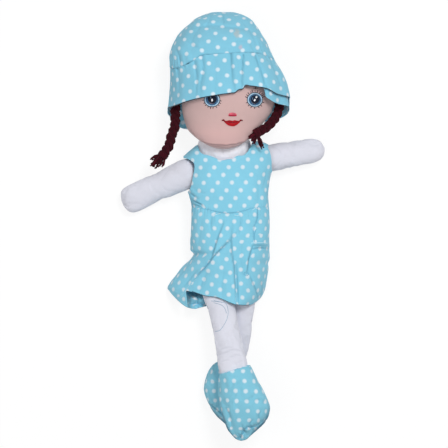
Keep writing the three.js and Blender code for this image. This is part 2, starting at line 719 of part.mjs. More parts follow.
// Half of the skirt as a grid: the front above the side seams, or the back below them
function skirtGrid(front, hemShares, inset) {
  const grid = [];
  for (let row = 0; row <= steps.skirt; row++) {
    const share = row / steps.skirt;
    const { left, right, seam, top, frontPower, backPower } = skirtSection(share);
    const middle = { x: (left + right) / 2, z: seam + (front ? gap / 2 : -gap / 2) };
    const deep = front ? top - middle.z : middle.z + floorFlat;
    const line = [];
    for (let i = 0; i <= sides.skirt; i++) {
      const angle = Math.PI * (1 - i / sides.skirt);
      const fold = front ? skirt.foldDepth * share * Math.sin(angle) * Math.sin(2 * skirt.folds * angle) : 0;
      const half = { x: (right - left) / 2 - inset + fold, z: deep - inset + fold };
      const { x, z } = oval(middle, half, front ? angle : -angle, front ? frontPower : backPower);
      const across = Math.max(0, Math.min(1, (x - left) / (right - left)));
      line.push(new THREE.Vector3(x, skirtTop - share * skirt.hem * smooth(hemShares, across), z));
    }
    grid.push(line);
  }
  return grid;
}

function skirtHalf(front, hemShares) {
  return solid(sheet(skirtGrid(front, hemShares, 0), skirtGrid(front, hemShares, dressCloth)));
}
add(doll, 'skirt_front', skirtHalf(true, skirtHemShares), dottedCotton());
add(doll, 'skirt_back', less(skirtHalf(false, skirtBackHemShares), underFloor), dottedCotton());

export default doll;
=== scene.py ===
"""Looks of the rag doll: stitched cotton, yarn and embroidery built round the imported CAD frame.

Tables are in millimetres in the doll's frame (X to the viewer's right, Y towards the head, Z up out of
the face) and become metres when a mesh is made.
"""

import math
import random

import bmesh
import bpy
import numpy as np
from mathutils import Matrix, Vector, noise
from mathutils.bvhtree import BVHTree


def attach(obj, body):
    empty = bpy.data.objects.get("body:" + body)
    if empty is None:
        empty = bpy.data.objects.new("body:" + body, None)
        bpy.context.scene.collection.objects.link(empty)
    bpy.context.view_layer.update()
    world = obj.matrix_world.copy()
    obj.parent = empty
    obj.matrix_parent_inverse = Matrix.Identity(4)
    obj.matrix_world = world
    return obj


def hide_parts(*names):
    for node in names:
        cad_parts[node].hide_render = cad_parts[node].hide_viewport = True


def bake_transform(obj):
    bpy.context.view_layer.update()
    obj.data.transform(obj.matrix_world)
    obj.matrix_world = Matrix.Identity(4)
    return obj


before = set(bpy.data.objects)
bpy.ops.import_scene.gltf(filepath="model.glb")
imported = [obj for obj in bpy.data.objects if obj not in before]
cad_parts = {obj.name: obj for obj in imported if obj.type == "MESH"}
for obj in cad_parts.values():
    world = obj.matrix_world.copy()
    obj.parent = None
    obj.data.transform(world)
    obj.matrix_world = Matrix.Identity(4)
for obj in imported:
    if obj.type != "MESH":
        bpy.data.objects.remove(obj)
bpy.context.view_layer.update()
MM = 0.001
SEED = 11
CHANCE = random.Random(SEED)

# Camera straight above, as in the photograph
CAMERA_PLACE = (0.0029, 0.0017, 2.932)
CAMERA_LENS = 200
READ_LEVEL = 45  # height, in mm, at which the photograph's scale was read

# Braids, the doll's cords: routes as in the part's source
BRAIDS = {
    "right": [
        (-51.3, 153, 47), (-53, 141, 47.5), (-53.6, 128, 48), (-54, 114.8, 48), (-58, 103.8, 48),
        (-60.6, 93, 48), (-65.5, 85, 47.5),
    ],
    "left": [
        (66.6, 154, 46.6), (67.4, 143, 48), (65.5, 131.7, 50), (60, 121.5, 53), (51.5, 113, 57.5),
        (43, 108, 61.5),
    ],
}


def add_camera():
    data = bpy.data.cameras.new("camera")
    data.lens = CAMERA_LENS
    data.clip_end = 20
    camera = bpy.data.objects.new("camera", data)
    camera.location = CAMERA_PLACE
    bpy.context.collection.objects.link(camera)
    bpy.context.scene.camera = camera


def seen(points):
    """Where points in millimetres appear from the camera, brought to the level that the scale was read at."""
    points = np.asarray(points, float)
    middle, top = np.array(CAMERA_PLACE[:2]) / MM, CAMERA_PLACE[2] / MM
    return middle + (points[..., :2] - middle) * ((top - READ_LEVEL) / (top - points[..., 2:3]))


def placed(x, y, z):
    """The true place, at a height, of what appears at (x, y)."""
    (mx, my), top = np.array(CAMERA_PLACE[:2]) / MM, CAMERA_PLACE[2] / MM
    share = (top - z) / (top - READ_LEVEL)
    return mx + (x - mx) * share, my + (y - my) * share


# Numbers along lines and tables
def table_at(rows, places):
    """Smooth values of a table at places in its rising first column."""
    rows = np.asarray(rows, float)
    start, values = rows[:, 0], rows[:, 1:]
    slopes = np.gradient(values, start, axis=0)
    places = np.clip(np.asarray(places, float), start[0], start[-1])
    i = np.clip(np.searchsorted(start, places, side="right") - 1, 0, len(start) - 2)
    step = (start[i + 1] - start[i])[..., None]
    t = (places - start[i])[..., None] / step
    return (
        values[i] * (1 + 2 * t) * (1 - t) ** 2 + values[i + 1] * t * t * (3 - 2 * t)
        + slopes[i] * step * t * (1 - t) ** 2 + slopes[i + 1] * step * t * t * (t - 1)
    )


def smooth_line(points, count, by=3):
    """Points spread evenly along a smooth line; the first few columns give its length."""
    points = np.asarray(points, float)
    chain = np.concatenate([2 * points[:1] - points[1:2], points, 2 * points[-1:] - points[-2:-1]])
    dense = []
    for a, b, c, d in zip(chain, chain[1:], chain[2:], chain[3:]):
        for t in np.linspace(0, 1, 12, endpoint=False):
            dense.append(0.5 * (2 * b + (c - a) * t + (2 * a - 5 * b + 4 * c - d) * t**2
                                + (3 * b - a - 3 * c + d) * t**3))
    dense = np.array(dense + [points[-1]])
    lengths = np.r_[0, np.cumsum(np.linalg.norm(np.diff(dense[:, :by], axis=0), axis=1))]
    places = np.linspace(0, lengths[-1], count)
    return np.stack([np.interp(places, lengths, column) for column in dense.T], axis=1)


def ease(value, low, high):
    t = np.clip((value - low) / (high - low), 0, 1)
    return t * t * (3 - 2 * t)


def power_of(value, exponent):
    return np.sign(value) * np.abs(value) ** exponent


def bell(value, width):
    """1 at zero, and falling away smoothly over a width on both sides."""
    return np.exp(-((value / width) ** 2))


def line_distance(places, line):
    """Signed distance of (x, y) places from a line, left of its way positive, and the share along it."""
    line = np.asarray(line, float)
    lengths = np.r_[0, np.cumsum(np.linalg.norm(np.diff(line, axis=0), axis=1))]
    best = np.full(places.shape[:-1], 1e9)
    signed, share = best.copy(), best.copy()
    for i, (a, b) in enumerate(zip(line, line[1:])):
        along = b - a
        t = np.clip(((places - a) @ along) / (along @ along), 0, 1)
        off = places - (a + t[..., None] * along)
        gap = np.linalg.norm(off, axis=-1)
        side = np.sign(along[0] * off[..., 1] - along[1] * off[..., 0])
        nearer = gap < best
        best = np.where(nearer, gap, best)
        signed = np.where(nearer, gap * side, signed)
        share = np.where(nearer, (lengths[i] + t * (lengths[i + 1] - lengths[i])) / lengths[-1], share)
    return signed, share, lengths[-1]


# Folds, pressed into the front of a cloth and darkened along their hollows with painted shade
FOLD_GAIN = 1.5


def fold(width, valley, *line, **more):
    """A fold: its half width, its depth, the (x, y) places of its line as seen, and its other sizes, the
    strength of its painted shade among them.
    """
    return {"width": width, "valley": valley, "line": line, **more}


def crease(points, folds, facing):
    """Presses folds into a cloth, each along its own line as seen from the camera.

    Gives the points, and how strongly painted shade darkens each one in a fold, from 0 to 1.
    """
    flat = seen(points)
    crease_shade = np.zeros(points.shape[:-1])
    for each in folds:
        gap, share, length = line_distance(flat, smooth_line(each["line"], 24, by=2))
        ends = np.clip(np.sin(np.pi * np.clip(share, 0.02, 0.98)), 0, 1) ** 0.5
        if each.get("open"):
            ends = np.clip(1 - share, 0, 1) ** 0.3
        width, valley = each["width"], each["valley"]
        rise = -valley * bell(gap, width)
        if "lip" in each:
            raised = 0.5 + 0.5 * np.tanh(gap / width)
            rise += each["lip"] * raised * np.exp(-np.maximum(gap, 0) / each.get("spread", 6))
        if "pucker" in each:
            wave = np.sin(2 * np.pi * share * length / each["pitch"] + 1.7 * np.sin(share * length / 5))
            rise += each["pucker"] * wave * bell(gap, each.get("reach", 3.5))
        points[..., 2] += FOLD_GAIN * rise * ends * facing
        # painted shade: how much the fold darkens the cloth's colour near its line
        dark = each.get("dark", 0.5 * min(1, max(valley, 0) / 1.4) * min(1, 1.2 / width))
        crease_shade = np.maximum(crease_shade, dark * bell(gap, min(width, 0.9)) * ends * facing)
    return points, crease_shade


def ripple(points, size, height, seed, along=(1, 1, 1)):
    """Smooth unevenness of cloth: a height for each point."""
    flat = points.reshape(-1, 3) * np.asarray(along) / size + seed
    values = [noise.noise(Vector(p)) for p in flat]
    return height * np.array(values).reshape(points.shape[:-1])


# Grids of points
def ring_grid(rings, rows, columns, power):
    """Closed rounded ovals of (y, left, right, back, front, ...), from one pole to the other.

    Gives the points, the columns' angles, and the rings' values at each row.
    """
    chain = smooth_line(rings, rows, by=5)[..., None]
    angles = np.linspace(-math.pi / 2, 1.5 * math.pi, columns + 1)
    y, left, right, back, front = (chain[:, i] for i in range(5))
    x = (left + right) / 2 + (right - left) / 2 * power_of(np.cos(angles), 2 / power)
    z = (back + front) / 2 + (front - back) / 2 * power_of(np.sin(angles), 2 / power)
    return np.stack([x, y + 0 * x, z], axis=-1), angles, chain


def normals_of(points):
    """Unit normals of a grid of points."""
    across = np.gradient(points, axis=1)
    up = np.gradient(points, axis=0)
    cross = np.cross(across, up)
    return cross / np.maximum(np.linalg.norm(cross, axis=-1, keepdims=True), 1e-9)


def cloth_uv(points, centre=None):
    """The cut cloth's own lengths: round the piece from a centre column, and along it by its slope there."""
    centre = points.shape[1] // 2 if centre is None else centre
    step = np.diff(points, axis=1)
    across = np.hypot(step[..., 0], step[..., 2])
    across = np.concatenate([np.zeros((len(points), 1)), np.cumsum(across, axis=1)], axis=1)
    across -= across[:, centre:centre + 1]
    middle = len(points) // 2
    rightwards = np.sign(points[middle, centre + 1, 0] - points[middle, centre, 0])
    column = points[np.argsort(points[:, centre, 1]), centre, 1:]
    lengths = np.r_[0, np.cumsum(np.linalg.norm(np.diff(column, axis=0), axis=1))]
    inside = np.clip(points[..., 1], column[0, 0], column[-1, 0])
    along = np.interp(inside, column[:, 0], lengths) + points[..., 1] - inside
    return np.stack([points[:, centre:centre + 1, 0] + rightwards * across, along], axis=-1)


def dot_under(points, uv, place):
    """Shifts the pattern so that one dot's centre lies at an (x, y) place seen from the front."""
    reach = np.linalg.norm(seen(points) - np.array(place), axis=-1) - 0.05 * points[..., 2]
    at = np.unravel_index(np.argmin(reach), reach.shape)
    return uv - uv[at]


def with_crease_shade(uv, fold):
    """The cut's lengths with the painted crease shade as a third column."""
    return np.concatenate([uv, fold[..., None]], axis=-1)


# Meshes
def placed_mesh(name, mesh):
    obj = bpy.data.objects.new(name, mesh)
    bpy.context.collection.objects.link(obj)
    return obj


def grid_faces(shape):
    rows, columns = shape[:2]
    a = (np.arange(rows - 1)[:, None] * columns + np.arange(columns - 1)[None, :]).ravel()
    return np.stack([a, a + 1, a + columns + 1, a + columns], axis=1).tolist()


def trimmed(points, uv, field):
    """Clips a grid to where the field is above zero, with a clean edge along its zero line."""
    places = np.concatenate([points.reshape(-1, 3), uv.reshape(-1, uv.shape[-1])], axis=1).tolist()
    value = field.ravel()
    made = {}
    faces = []
    for face in grid_faces(points.shape):
        inside = [value[i] > 0 for i in face]
        if all(inside):
            faces.append(face)
        if all(inside) or not any(inside):
            continue
        clipped = []
        for i, j in zip(face, face[1:] + face[:1]):
            if value[i] > 0:
                clipped.append(i)
            if (value[i] > 0) != (value[j] > 0):
                key = (min(i, j), max(i, j))
                if key not in made:
                    t = value[i] / (value[i] - value[j])
                    places.append([a + (b - a) * t for a, b in zip(places[i], places[j])])
                    made[key] = len(places) - 1
                clipped.append(made[key])
        faces.append(clipped)
    table = np.array(places)
    return table[:, :3], table[:, 3:], faces


def cloth_mesh(name, points, uv, faces=None, flip=False, ends=False):
    """A mesh in metres from millimetre points, with its UV map; touching edges and poles are welded.

    ends gives the faces that look along Y a flat cut of their own.
    """
    faces = grid_faces(points.shape) if faces is None else faces
    points, uv = points.reshape(-1, 3), uv.reshape(-1, uv.shape[-1])
    if flip:
        faces = [face[::-1] for face in faces]
    mesh = bpy.data.meshes.new(name)
    mesh.from_pydata((points * MM).tolist(), [], faces)
    layer = mesh.uv_layers.new(name="Cut")
    loops = np.zeros(len(mesh.loops), int)
    mesh.loops.foreach_get("vertex_index", loops)
    cut = uv[loops, :2]
    for face in mesh.polygons if ends else ():
        if abs(face.normal.y) > 0.86:
            round_face = slice(face.loop_start, face.loop_start + face.loop_total)
            cut[round_face] = points[loops[round_face]][:, (0, 2)]
    layer.data.foreach_set("uv", (cut * MM).ravel())
    # a third column, the painted crease shade, becomes a point attribute
    if uv.shape[1] > 2:
        mesh.attributes.new("CreaseShade", "FLOAT", "POINT").data.foreach_set("value", uv[:, 2])
    shape = bmesh.new()
    shape.from_mesh(mesh)
    bmesh.ops.remove_doubles(shape, verts=shape.verts, dist=0.02 * MM)
    loose = [v for v in shape.verts if not v.link_faces]
    bmesh.ops.delete(shape, geom=loose, context="VERTS")
    shape.to_mesh(mesh)
    shape.free()
    mesh.shade_smooth()
    return placed_mesh(name, mesh)


def applied(obj):
    """The object with its modifiers turned into plain mesh."""
    bpy.context.view_layer.update()
    result = obj.evaluated_get(bpy.context.evaluated_depsgraph_get())
    mesh = bpy.data.meshes.new_from_object(result)
    obj.modifiers.clear()
    old = obj.data
    obj.data = mesh
    if old.name in bpy.data.meshes and old.users == 0:
        bpy.data.meshes.remove(old)
    mesh.name = obj.name
    return obj


def thicken(obj, wall):
    """Gives a cloth its thickness, inwards from the face that shows."""
    solid = obj.modifiers.new("Wall", "SOLIDIFY")
    solid.thickness = wall * MM
    solid.offset = -1
    solid.use_rim = True
    return applied(obj)


def outwards(obj):
    shape = bmesh.new()
    shape.from_mesh(obj.data)
    bmesh.ops.recalc_face_normals(shape, faces=shape.faces)
    shape.to_mesh(obj.data)
    shape.free()
    return obj


def face_out(obj):
    """Turns an open cloth so that its faces look away from the doll's middle."""
    middle = sum((v.co for v in obj.data.vertices), Vector()) / len(obj.data.vertices)
    outward = sum(face.normal.dot(face.center - middle) * face.area for face in obj.data.polygons)
    if outward < 0:
        obj.data.flip_normals()


def coordinates(mesh):
    places = np.zeros(len(mesh.vertices) * 3)
    mesh.vertices.foreach_get("co", places)
    return places.reshape(-1, 3)


PRESSURE = 4.0


def puff(obj, cap, slack, frames):
    """Blows a stuffed piece up as cloth with gravity off; no point moves further than the cap."""
    before = coordinates(obj.data)
    cloth = obj.modifiers.new("Cloth", "CLOTH")
    cloth.settings.quality = 6
    cloth.settings.mass = 0.1
    cloth.settings.use_pressure = True
    cloth.settings.uniform_pressure_force = PRESSURE
    cloth.settings.shrink_min = -slack
    cloth.settings.bending_stiffness = 0.2
    cloth.settings.effector_weights.gravity = 0
    cloth.collision_settings.use_collision = False
    scene = bpy.context.scene
    for step in range(1, frames + 1):
        scene.frame_set(step)
    after = coordinates(obj.evaluated_get(bpy.context.evaluated_depsgraph_get()).data)
    obj.modifiers.clear()
    moved = after - before
    reach = np.linalg.norm(moved, axis=1, keepdims=True)
    moved *= np.minimum(1, cap * MM / np.maximum(reach, 1e-9))
    obj.data.vertices.foreach_set("co", (before + moved).ravel())
    obj.data.update()
    scene.frame_set(1)


def surface_of(obj):
    """Looks down on a piece and gives its cloth's place and normal at what the camera sees at (x, y)."""
    places = [v.co for v in obj.data.vertices]
    tree = BVHTree.FromPolygons(places, [tuple(p.vertices) for p in obj.data.polygons])

    def cast(x, y):
        place, normal, _, _ = tree.ray_cast(Vector((x * MM, y * MM, 0.3)), Vector((0, 0, -1)))
        return (place, normal) if place else None

    def look(x, y):
        found = cast(x, y)
        return found and cast(*placed(x, y, found[0].z / MM))

    return look


def declare(obj, finish, body, slot, *nodes):
    """Gives a piece its finish, puts it under its body and hides the solids it stands for; slot is not used.
    """
    if finish:
        obj.data.materials.append(FINISH[finish])
    if body:
        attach(obj, body)
    if nodes:
        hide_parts(*nodes)


# Node trees
def through(operation):
    """A method that puts a wire, and a second value where there is one, through a Math node."""

    def method(self, *other):
        return self.maths(operation, self, *other)

    return method


class Wire:
    """A socket of a node tree that works in Python expressions."""

    __add__ = __radd__ = through("ADD")
    __sub__ = through("SUBTRACT")
    __mul__ = __rmul__ = through("MULTIPLY")
    __truediv__ = through("DIVIDE")
    __pow__ = through("POWER")
    sine = through("SINE")
    cosine = through("COSINE")
    fraction = through("FRACT")
    floor = through("FLOOR")
    size = through("ABSOLUTE")
    root = through("SQRT")
    most = through("MAXIMUM")

    def __init__(self, tree, socket):
        self.tree = tree
        self.socket = socket

    def maths(self, operation, *values):
        settings = {"operation": operation}
        return add_node(self.tree, "ShaderNodeMath", settings, dict(enumerate(values)))[0]

    def __rsub__(self, other):
        return self.maths("SUBTRACT", other, self)

    def eased(self, low, high):
        """From 0 at low to 1 at high, smoothly."""
        settings = {"interpolation_type": "SMOOTHSTEP"}
        return add_node(self.tree, "ShaderNodeMapRange", settings, {0: self, 1: low, 2: high})[0]


def add_node(tree, kind, settings=None, sockets=None):
    """Adds a node, sets it up, fills its sockets with values or links, and gives its outputs."""
    node = tree.nodes.new(kind)
    for key, value in (settings or {}).items():
        setattr(node, key, value)
    for key, value in (sockets or {}).items():
        socket = node.inputs[key]
        if isinstance(value, Wire):
            tree.links.new(value.socket, socket)
        else:
            socket.default_value = value
    return [Wire(tree, output) for output in node.outputs]


def linear(red, green, blue):
    """A colour as written on screen, 0 to 255, in the renderer's own scale."""
    shares = [value / 255 for value in (red, green, blue)]
    return tuple(v / 12.92 if v <= 0.04045 else ((v + 0.055) / 1.055) ** 2.4 for v in shares) + (1.0,)


def mix_colour(tree, share, low, high, way="MIX"):
    settings = {"data_type": "RGBA", "blend_type": way}
    return add_node(tree, "ShaderNodeMix", settings, {0: share, 6: low, 7: high})[2]


def shaded(tree, colour, share):
    """A colour made lighter or darker by a number."""
    tone = add_node(tree, "ShaderNodeCombineColor", None, {0: share, 1: share, 2: share})[0]
    return mix_colour(tree, 1.0, colour, tone, "MULTIPLY")


def apart(tree, vector):
    return add_node(tree, "ShaderNodeSeparateXYZ", None, {0: vector})


def noise_wire(tree, vector, scale, detail=2.0, rough=0.5):
    sockets = {"Vector": vector, "Scale": scale, "Detail": detail, "Roughness": rough}
    return add_node(tree, "ShaderNodeTexNoise", None, sockets)[0]


def object_wire(tree):
    return add_node(tree, "ShaderNodeTexCoord")[3]


def new_finish(name, rough, sheen):
    material = bpy.data.materials.new(name)
    material.use_nodes = True
    tree = material.node_tree
    shader = tree.nodes["Principled BSDF"]
    shader.inputs["Roughness"].default_value = rough
    shader.inputs["Sheen Weight"].default_value = sheen
    shader.inputs["Sheen Roughness"].default_value = 0.6
    shader.inputs["Specular IOR Level"].default_value = 0.2
    return material, tree, shader


def join(tree, wire, socket):
    tree.links.new(wire.socket, socket)


def soft_bump(tree, height, distance):
    sockets = {"Strength": 1.0, "Distance": distance, "Height": height}
    return add_node(tree, "ShaderNodeBump", None, sockets)[0]


# Finishes
WEAVE_PITCH = 0.00055
WEAVE_HEIGHT = 0.00006
DOT_RADIUS = 2.55
PRINT = (220, 232, 240)


def weave(across, along):
    """Plain weave: warp over weft in turn, from 0 to 1."""
    turn = math.pi / WEAVE_PITCH
    over = (across * turn).sine() * (along * turn).cosine()
    return over.size() * 0.7 + 0.3 * (across * turn * 2).sine().size()


def cloth_shades(tree, places, colour, depth):
    """A cloth's colour with slow and quick unevenness."""
    slow = noise_wire(tree, places, 28.0, 3.0)
    quick = noise_wire(tree, places, 420.0, 2.0, 0.7)
    share = (slow - 0.5) * (2.2 * depth) + (quick - 0.5) * (1.2 * depth) + 1.0
    return shaded(tree, linear(*colour), share)


def end_cotton(tree, shader, colour, crease_shade_colour, height):
    """Ends a cotton with its colour, darkened by painted shade in its creases, and its weave as bump."""
    # painted shade: the colour darkens towards its crease colour as strongly as the attribute says
    depth = add_node(tree, "ShaderNodeAttribute", {"attribute_name": "CreaseShade"})[2]
    join(tree, mix_colour(tree, depth, colour, linear(*crease_shade_colour)), shader.inputs["Base Color"])
    join(tree, soft_bump(tree, height, WEAVE_HEIGHT), shader.inputs["Normal"])


def plain_cotton(name, colour, shade, depth=0.045):
    """Matte woven cotton of one colour, with random grey soiling and painted grey shade in its creases."""
    material, tree, shader = new_finish(name, 0.92, 0.15)
    places = object_wire(tree)
    x, y, z = apart(tree, places)
    cloth = cloth_shades(tree, places, colour, depth)
    soil = noise_wire(tree, places, 55.0, 4.0, 0.6).eased(0.5, 0.8)
    cloth = mix_colour(tree, soil * 0.35, cloth, linear(*shade))
    height = weave(x + z * 0.6, y + z * 0.4) + noise_wire(tree, places, 900.0) * 0.8
    # painted shade in the creases: (150, 152, 168)
    end_cotton(tree, shader, cloth, (150, 152, 168), height)
    return material


def dotted_cotton(name, step, next_row, ground=(135, 206, 230), stains=()):
    """Blue cotton printed with white dots.

    step and next_row lead from one dot to its two neighbours, in mm. A stain is its place and its size,
    both (x, y) in mm, its tint and its strength.
    """
    material, tree, shader = new_finish(name, 0.9, 0.12)
    places = object_wire(tree)
    u, v, _ = apart(tree, add_node(tree, "ShaderNodeUVMap", {"uv_map": "Cut"})[0])
    (ax, ay), (bx, by) = step, next_row
    turned = (ax * by - ay * bx) * MM
    wobble = (noise_wire(tree, places, 45.0, 1.0) - 0.5) * 0.08
    off_a = ((u * by - v * bx) / turned + wobble + 0.5).fraction() - 0.5
    off_b = ((v * ax - u * ay) / turned - wobble + 0.5).fraction() - 0.5
    off_x = off_a * ax + off_b * bx
    off_y = off_a * ay + off_b * by
    edge = (noise_wire(tree, places, 700.0, 2.0) - 0.5) * 0.6
    reach = (off_x * off_x + off_y * off_y).root() + edge
    dot = 1 - reach.eased(DOT_RADIUS * 0.5, DOT_RADIUS * 1.36)
    thin = noise_wire(tree, places, 160.0, 2.0) * 0.2
    ground_shades = cloth_shades(tree, places, ground, 0.06)
    colour = mix_colour(tree, dot * (1 - thin), ground_shades, cloth_shades(tree, places, PRINT, 0.03))
    x, y, z = apart(tree, places)
    for (sx, sy), (rx, ry), tint, strength in stains:
        far = (((x / MM - sx) / rx) ** 2.0 + ((y / MM - sy) / ry) ** 2.0).root()
        patch = 1 - (far + (noise_wire(tree, places, 210.0, 3.0) - 0.5) * 1.1).eased(0.35, 1.15)
        colour = mix_colour(tree, patch * z.eased(0.02, 0.04) * strength, colour, linear(*tint))
    height = weave(u, v) * (1 - dot * 0.35) + noise_wire(tree, places, 900.0) * 0.6
    # painted shade in the creases: (46, 112, 142)
    end_cotton(tree, shader, colour, (46, 112, 142), height)
    return material


def face_cotton():
    """Flesh-coloured cotton, greyer to the sides with painted shade, and lighter and warmer towards the chin
    with painted light.
    """
    material, tree, shader = new_finish("face_cotton", 0.88, 0.2)
    places = object_wire(tree)
    x, y, z = apart(tree, places)
    # painted light: lighter towards the chin, whose surface faces away from the lamps
    chin = 1 - (y / MM).eased(96, 128)
    # painted shade: greyer to the sides of the head, which turn away from the lamps
    side = 1 - (z / MM).eased(35, 78)
    cloth = cloth_shades(tree, places, (206, 174, 171), 0.05)
    cloth = mix_colour(tree, chin * 0.85, cloth, linear(228, 186, 183))
    cloth = mix_colour(tree, side * 0.4, cloth, linear(190, 162, 163))
    height = weave(x, y + z * 0.5) + noise_wire(tree, places, 900.0) * 0.8
    # painted shade in the creases of the chin seam: (140, 104, 108)
    end_cotton(tree, shader, cloth, (140, 104, 108), height)
    return material


def thread_finish(name, rough, sheen, fuzz, shine=0.2):
    """Yarn or thread whose colour is its Tint attribute, finely streaked along its fibres."""
    material, tree, shader = new_finish(name, rough, sheen)
    shader.inputs["Specular IOR Level"].default_value = shine
    tint = add_node(tree, "ShaderNodeAttribute", {"attribute_name": "Tint"})[0]
    streak = noise_wire(tree, object_wire(tree), fuzz, 3.0, 0.7)
    join(tree, shaded(tree, tint, (streak - 0.5) * 0.7 + 1.0), shader.inputs["Base Color"])
    join(tree, soft_bump(tree, streak, 0.00015), shader.inputs["Normal"])
    return material


HAT_STAINS = [
    ((17.6, 220.6), (4.6, 6.2), (196, 188, 178), 0.5), ((21.8, 204.2), (2.7, 3.4), (214, 178, 190), 0.55),
]
FINISH = {
    "white": plain_cotton("white_cotton", (222, 223, 234), (200, 199, 208)),
    # painted light: a whiter copy of the white cotton, lightened for the neck that lies in the head's shade
    "neck": plain_cotton("neck_cotton_painted_light", (244, 243, 250), (226, 222, 230), 0.02),
    "face": face_cotton(),
    "hat": dotted_cotton("hat_cotton", (10.5, -7.3), (-7.9, -11.0), (130, 198, 222), HAT_STAINS),
    "bodice": dotted_cotton("bodice_cotton", (10.2, -8.9), (-6.2, -9.1)),
    "skirt": dotted_cotton("skirt_cotton", (8.5, -8.2), (-8.1, -8.1)),
    "boot": dotted_cotton("boot_cotton", (12.1, -0.3), (1.5, -11.4), (131, 200, 222)),
    "yarn": thread_finish("maroon_yarn", 0.95, 0.03, 900.0, 0.08),
    "silk": thread_finish("embroidery_thread", 0.6, 0.05, 1500.0, 0.25),
    "thread": thread_finish("sewing_thread", 0.7, 0.2, 1500.0),
}


# Threads and yarns: lines of points that one node tree turns into round strands
def new_tree(name, sizes):
    """A geometry node tree with named number inputs; gives the tree and its input wires by name."""
    tree = bpy.data.node_groups.new(name, "GeometryNodeTree")
    tree.interface.new_socket("Geometry", in_out="INPUT", socket_type="NodeSocketGeometry")
    for label, value in sizes.items():
        kind = "NodeSocketInt" if isinstance(value, int) else "NodeSocketFloat"
        socket = tree.interface.new_socket(label, in_out="INPUT", socket_type=kind)
        socket.default_value = value
    tree.interface.new_socket("Material", in_out="INPUT", socket_type="NodeSocketMaterial")
    tree.interface.new_socket("Geometry", in_out="OUTPUT", socket_type="NodeSocketGeometry")
    wires = add_node(tree, "NodeGroupInput")
    named = {wire.socket.name: wire for wire in wires}
    return tree, named


def end_tree(tree, named, geometry):
    """Realize Instances, Set Material and the output, as every tree here ends."""
    real = add_node(tree, "GeometryNodeRealizeInstances", None, {0: geometry})[0]
    smooth = add_node(tree, "GeometryNodeSetShadeSmooth", None, {0: real})[0]
    sockets = {"Geometry": smooth, "Material": named["Material"]}
    finished = add_node(tree, "GeometryNodeSetMaterial", None, sockets)[0]
    add_node(tree, "NodeGroupOutput", None, {0: finished})
    return tree


def tube(tree, line, girth, sides):
    """A closed round strand along each line."""
    ring = {"Resolution": sides, "Radius": 1.0}
    profile = add_node(tree, "GeometryNodeCurvePrimitiveCircle", None, ring)[0]
    sockets = {"Curve": line, "Profile Curve": profile, "Scale": girth, "Fill Caps": True}
    return add_node(tree, "GeometryNodeCurveToMesh", None, sockets)[0]


def strand_tree():
    """Turns lines into tubes as thick as their girth attribute."""
    tree, named = new_tree("Strands", {"Sides": 6})
    line = add_node(tree, "GeometryNodeMeshToCurve", None, {"Mesh": named["Geometry"]})[0]
    girth = add_node(tree, "GeometryNodeInputNamedAttribute", {"data_type": "FLOAT"}, {"Name": "girth"})[0]
    return end_tree(tree, named, tube(tree, line, girth, named["Sides"]))


def vector_maths(tree, operation, sockets):
    return add_node(tree, "ShaderNodeVectorMath", {"operation": operation}, sockets)[0]


def plait_tree():
    """Plaits a line: strands that cross over in turn, each a bundle of twisted yarns."""
    sizes = {"Strands": 3, "Yarns": 5, "Swing": 0.0029, "Lift": 0.0014, "Pitch": 0.023,
             "Bundle": 0.00155, "Girth": 0.00115, "Twist": 0.017}
    tree, named = new_tree("Plait", sizes)
    line = add_node(tree, "GeometryNodeMeshToCurve", None, {"Mesh": named["Geometry"]})[0]
    sockets = {"Geometry": line, "Amount": named["Strands"] * named["Yarns"]}
    lines, number = add_node(tree, "GeometryNodeDuplicateElements", {"domain": "SPLINE"}, sockets)[:2]
    strand = (number / named["Yarns"]).floor()
    yarn = number - strand * named["Yarns"]
    length = add_node(tree, "GeometryNodeSplineParameter")[1]
    turn = length / named["Pitch"] * (2 * math.pi) + strand * (2 * math.pi) / named["Strands"]
    twist = length / named["Twist"] * (2 * math.pi) + yarn * (2 * math.pi) / named["Yarns"]
    side_off = named["Swing"] * turn.sine() + named["Bundle"] * twist.cosine()
    lift_off = named["Lift"] * (turn * 2).sine() + named["Bundle"] * twist.sine()
    tangent = add_node(tree, "GeometryNodeInputTangent")[0]
    side = vector_maths(tree, "CROSS_PRODUCT", {0: tangent, 1: (0.0, 0.0, 1.0)})
    side = vector_maths(tree, "NORMALIZE", {0: side})
    over = vector_maths(tree, "CROSS_PRODUCT", {0: side, 1: tangent})
    side = vector_maths(tree, "SCALE", {0: side, "Scale": side_off})
    over = vector_maths(tree, "SCALE", {0: over, "Scale": lift_off})
    sockets = {"Geometry": lines, "Offset": vector_maths(tree, "ADD", {0: side, 1: over})}
    laid = add_node(tree, "GeometryNodeSetPosition", None, sockets)[0]
    return end_tree(tree, named, tube(tree, laid, named["Girth"], 6))


def grown(obj, tree, finish, sizes=None):
    """Runs a node tree on a piece and keeps the result as plain mesh."""
    made = obj.modifiers.new("Grown", "NODES")
    made.node_group = tree
    for item in tree.interface.items_tree:
        if item.in_out == "INPUT" and item.name in (sizes or {}):
            made[item.identifier] = sizes[item.name]
        if item.in_out == "INPUT" and item.name == "Material":
            made[item.identifier] = finish
    applied(obj)
    if not obj.data.materials:
        obj.data.materials.append(finish)
    return obj


def line_mesh(name, lines, girths, tints):
    """Loose lines in millimetres as edges, each point with its girth and tint."""
    places, edges, thick, shades = [], [], [], []
    for line, girth, tint in zip(lines, girths, tints):
        start = len(places)
        places += [tuple(np.asarray(p) * MM) for p in line]
        edges += [(start + i, start + i + 1) for i in range(len(line) - 1)]
        thick += [g * MM for g in (girth if np.ndim(girth) else [girth] * len(line))]
        shades += [linear(*tint)] * len(line)
    mesh = bpy.data.meshes.new(name)
    mesh.from_pydata(places, edges, [])
    mesh.attributes.new("girth", "FLOAT", "POINT").data.foreach_set("value", thick)
    mesh.attributes.new("Tint", "FLOAT_COLOR", "POINT").data.foreach_set("color", np.array(shades).ravel())
    return placed_mesh(name, mesh)


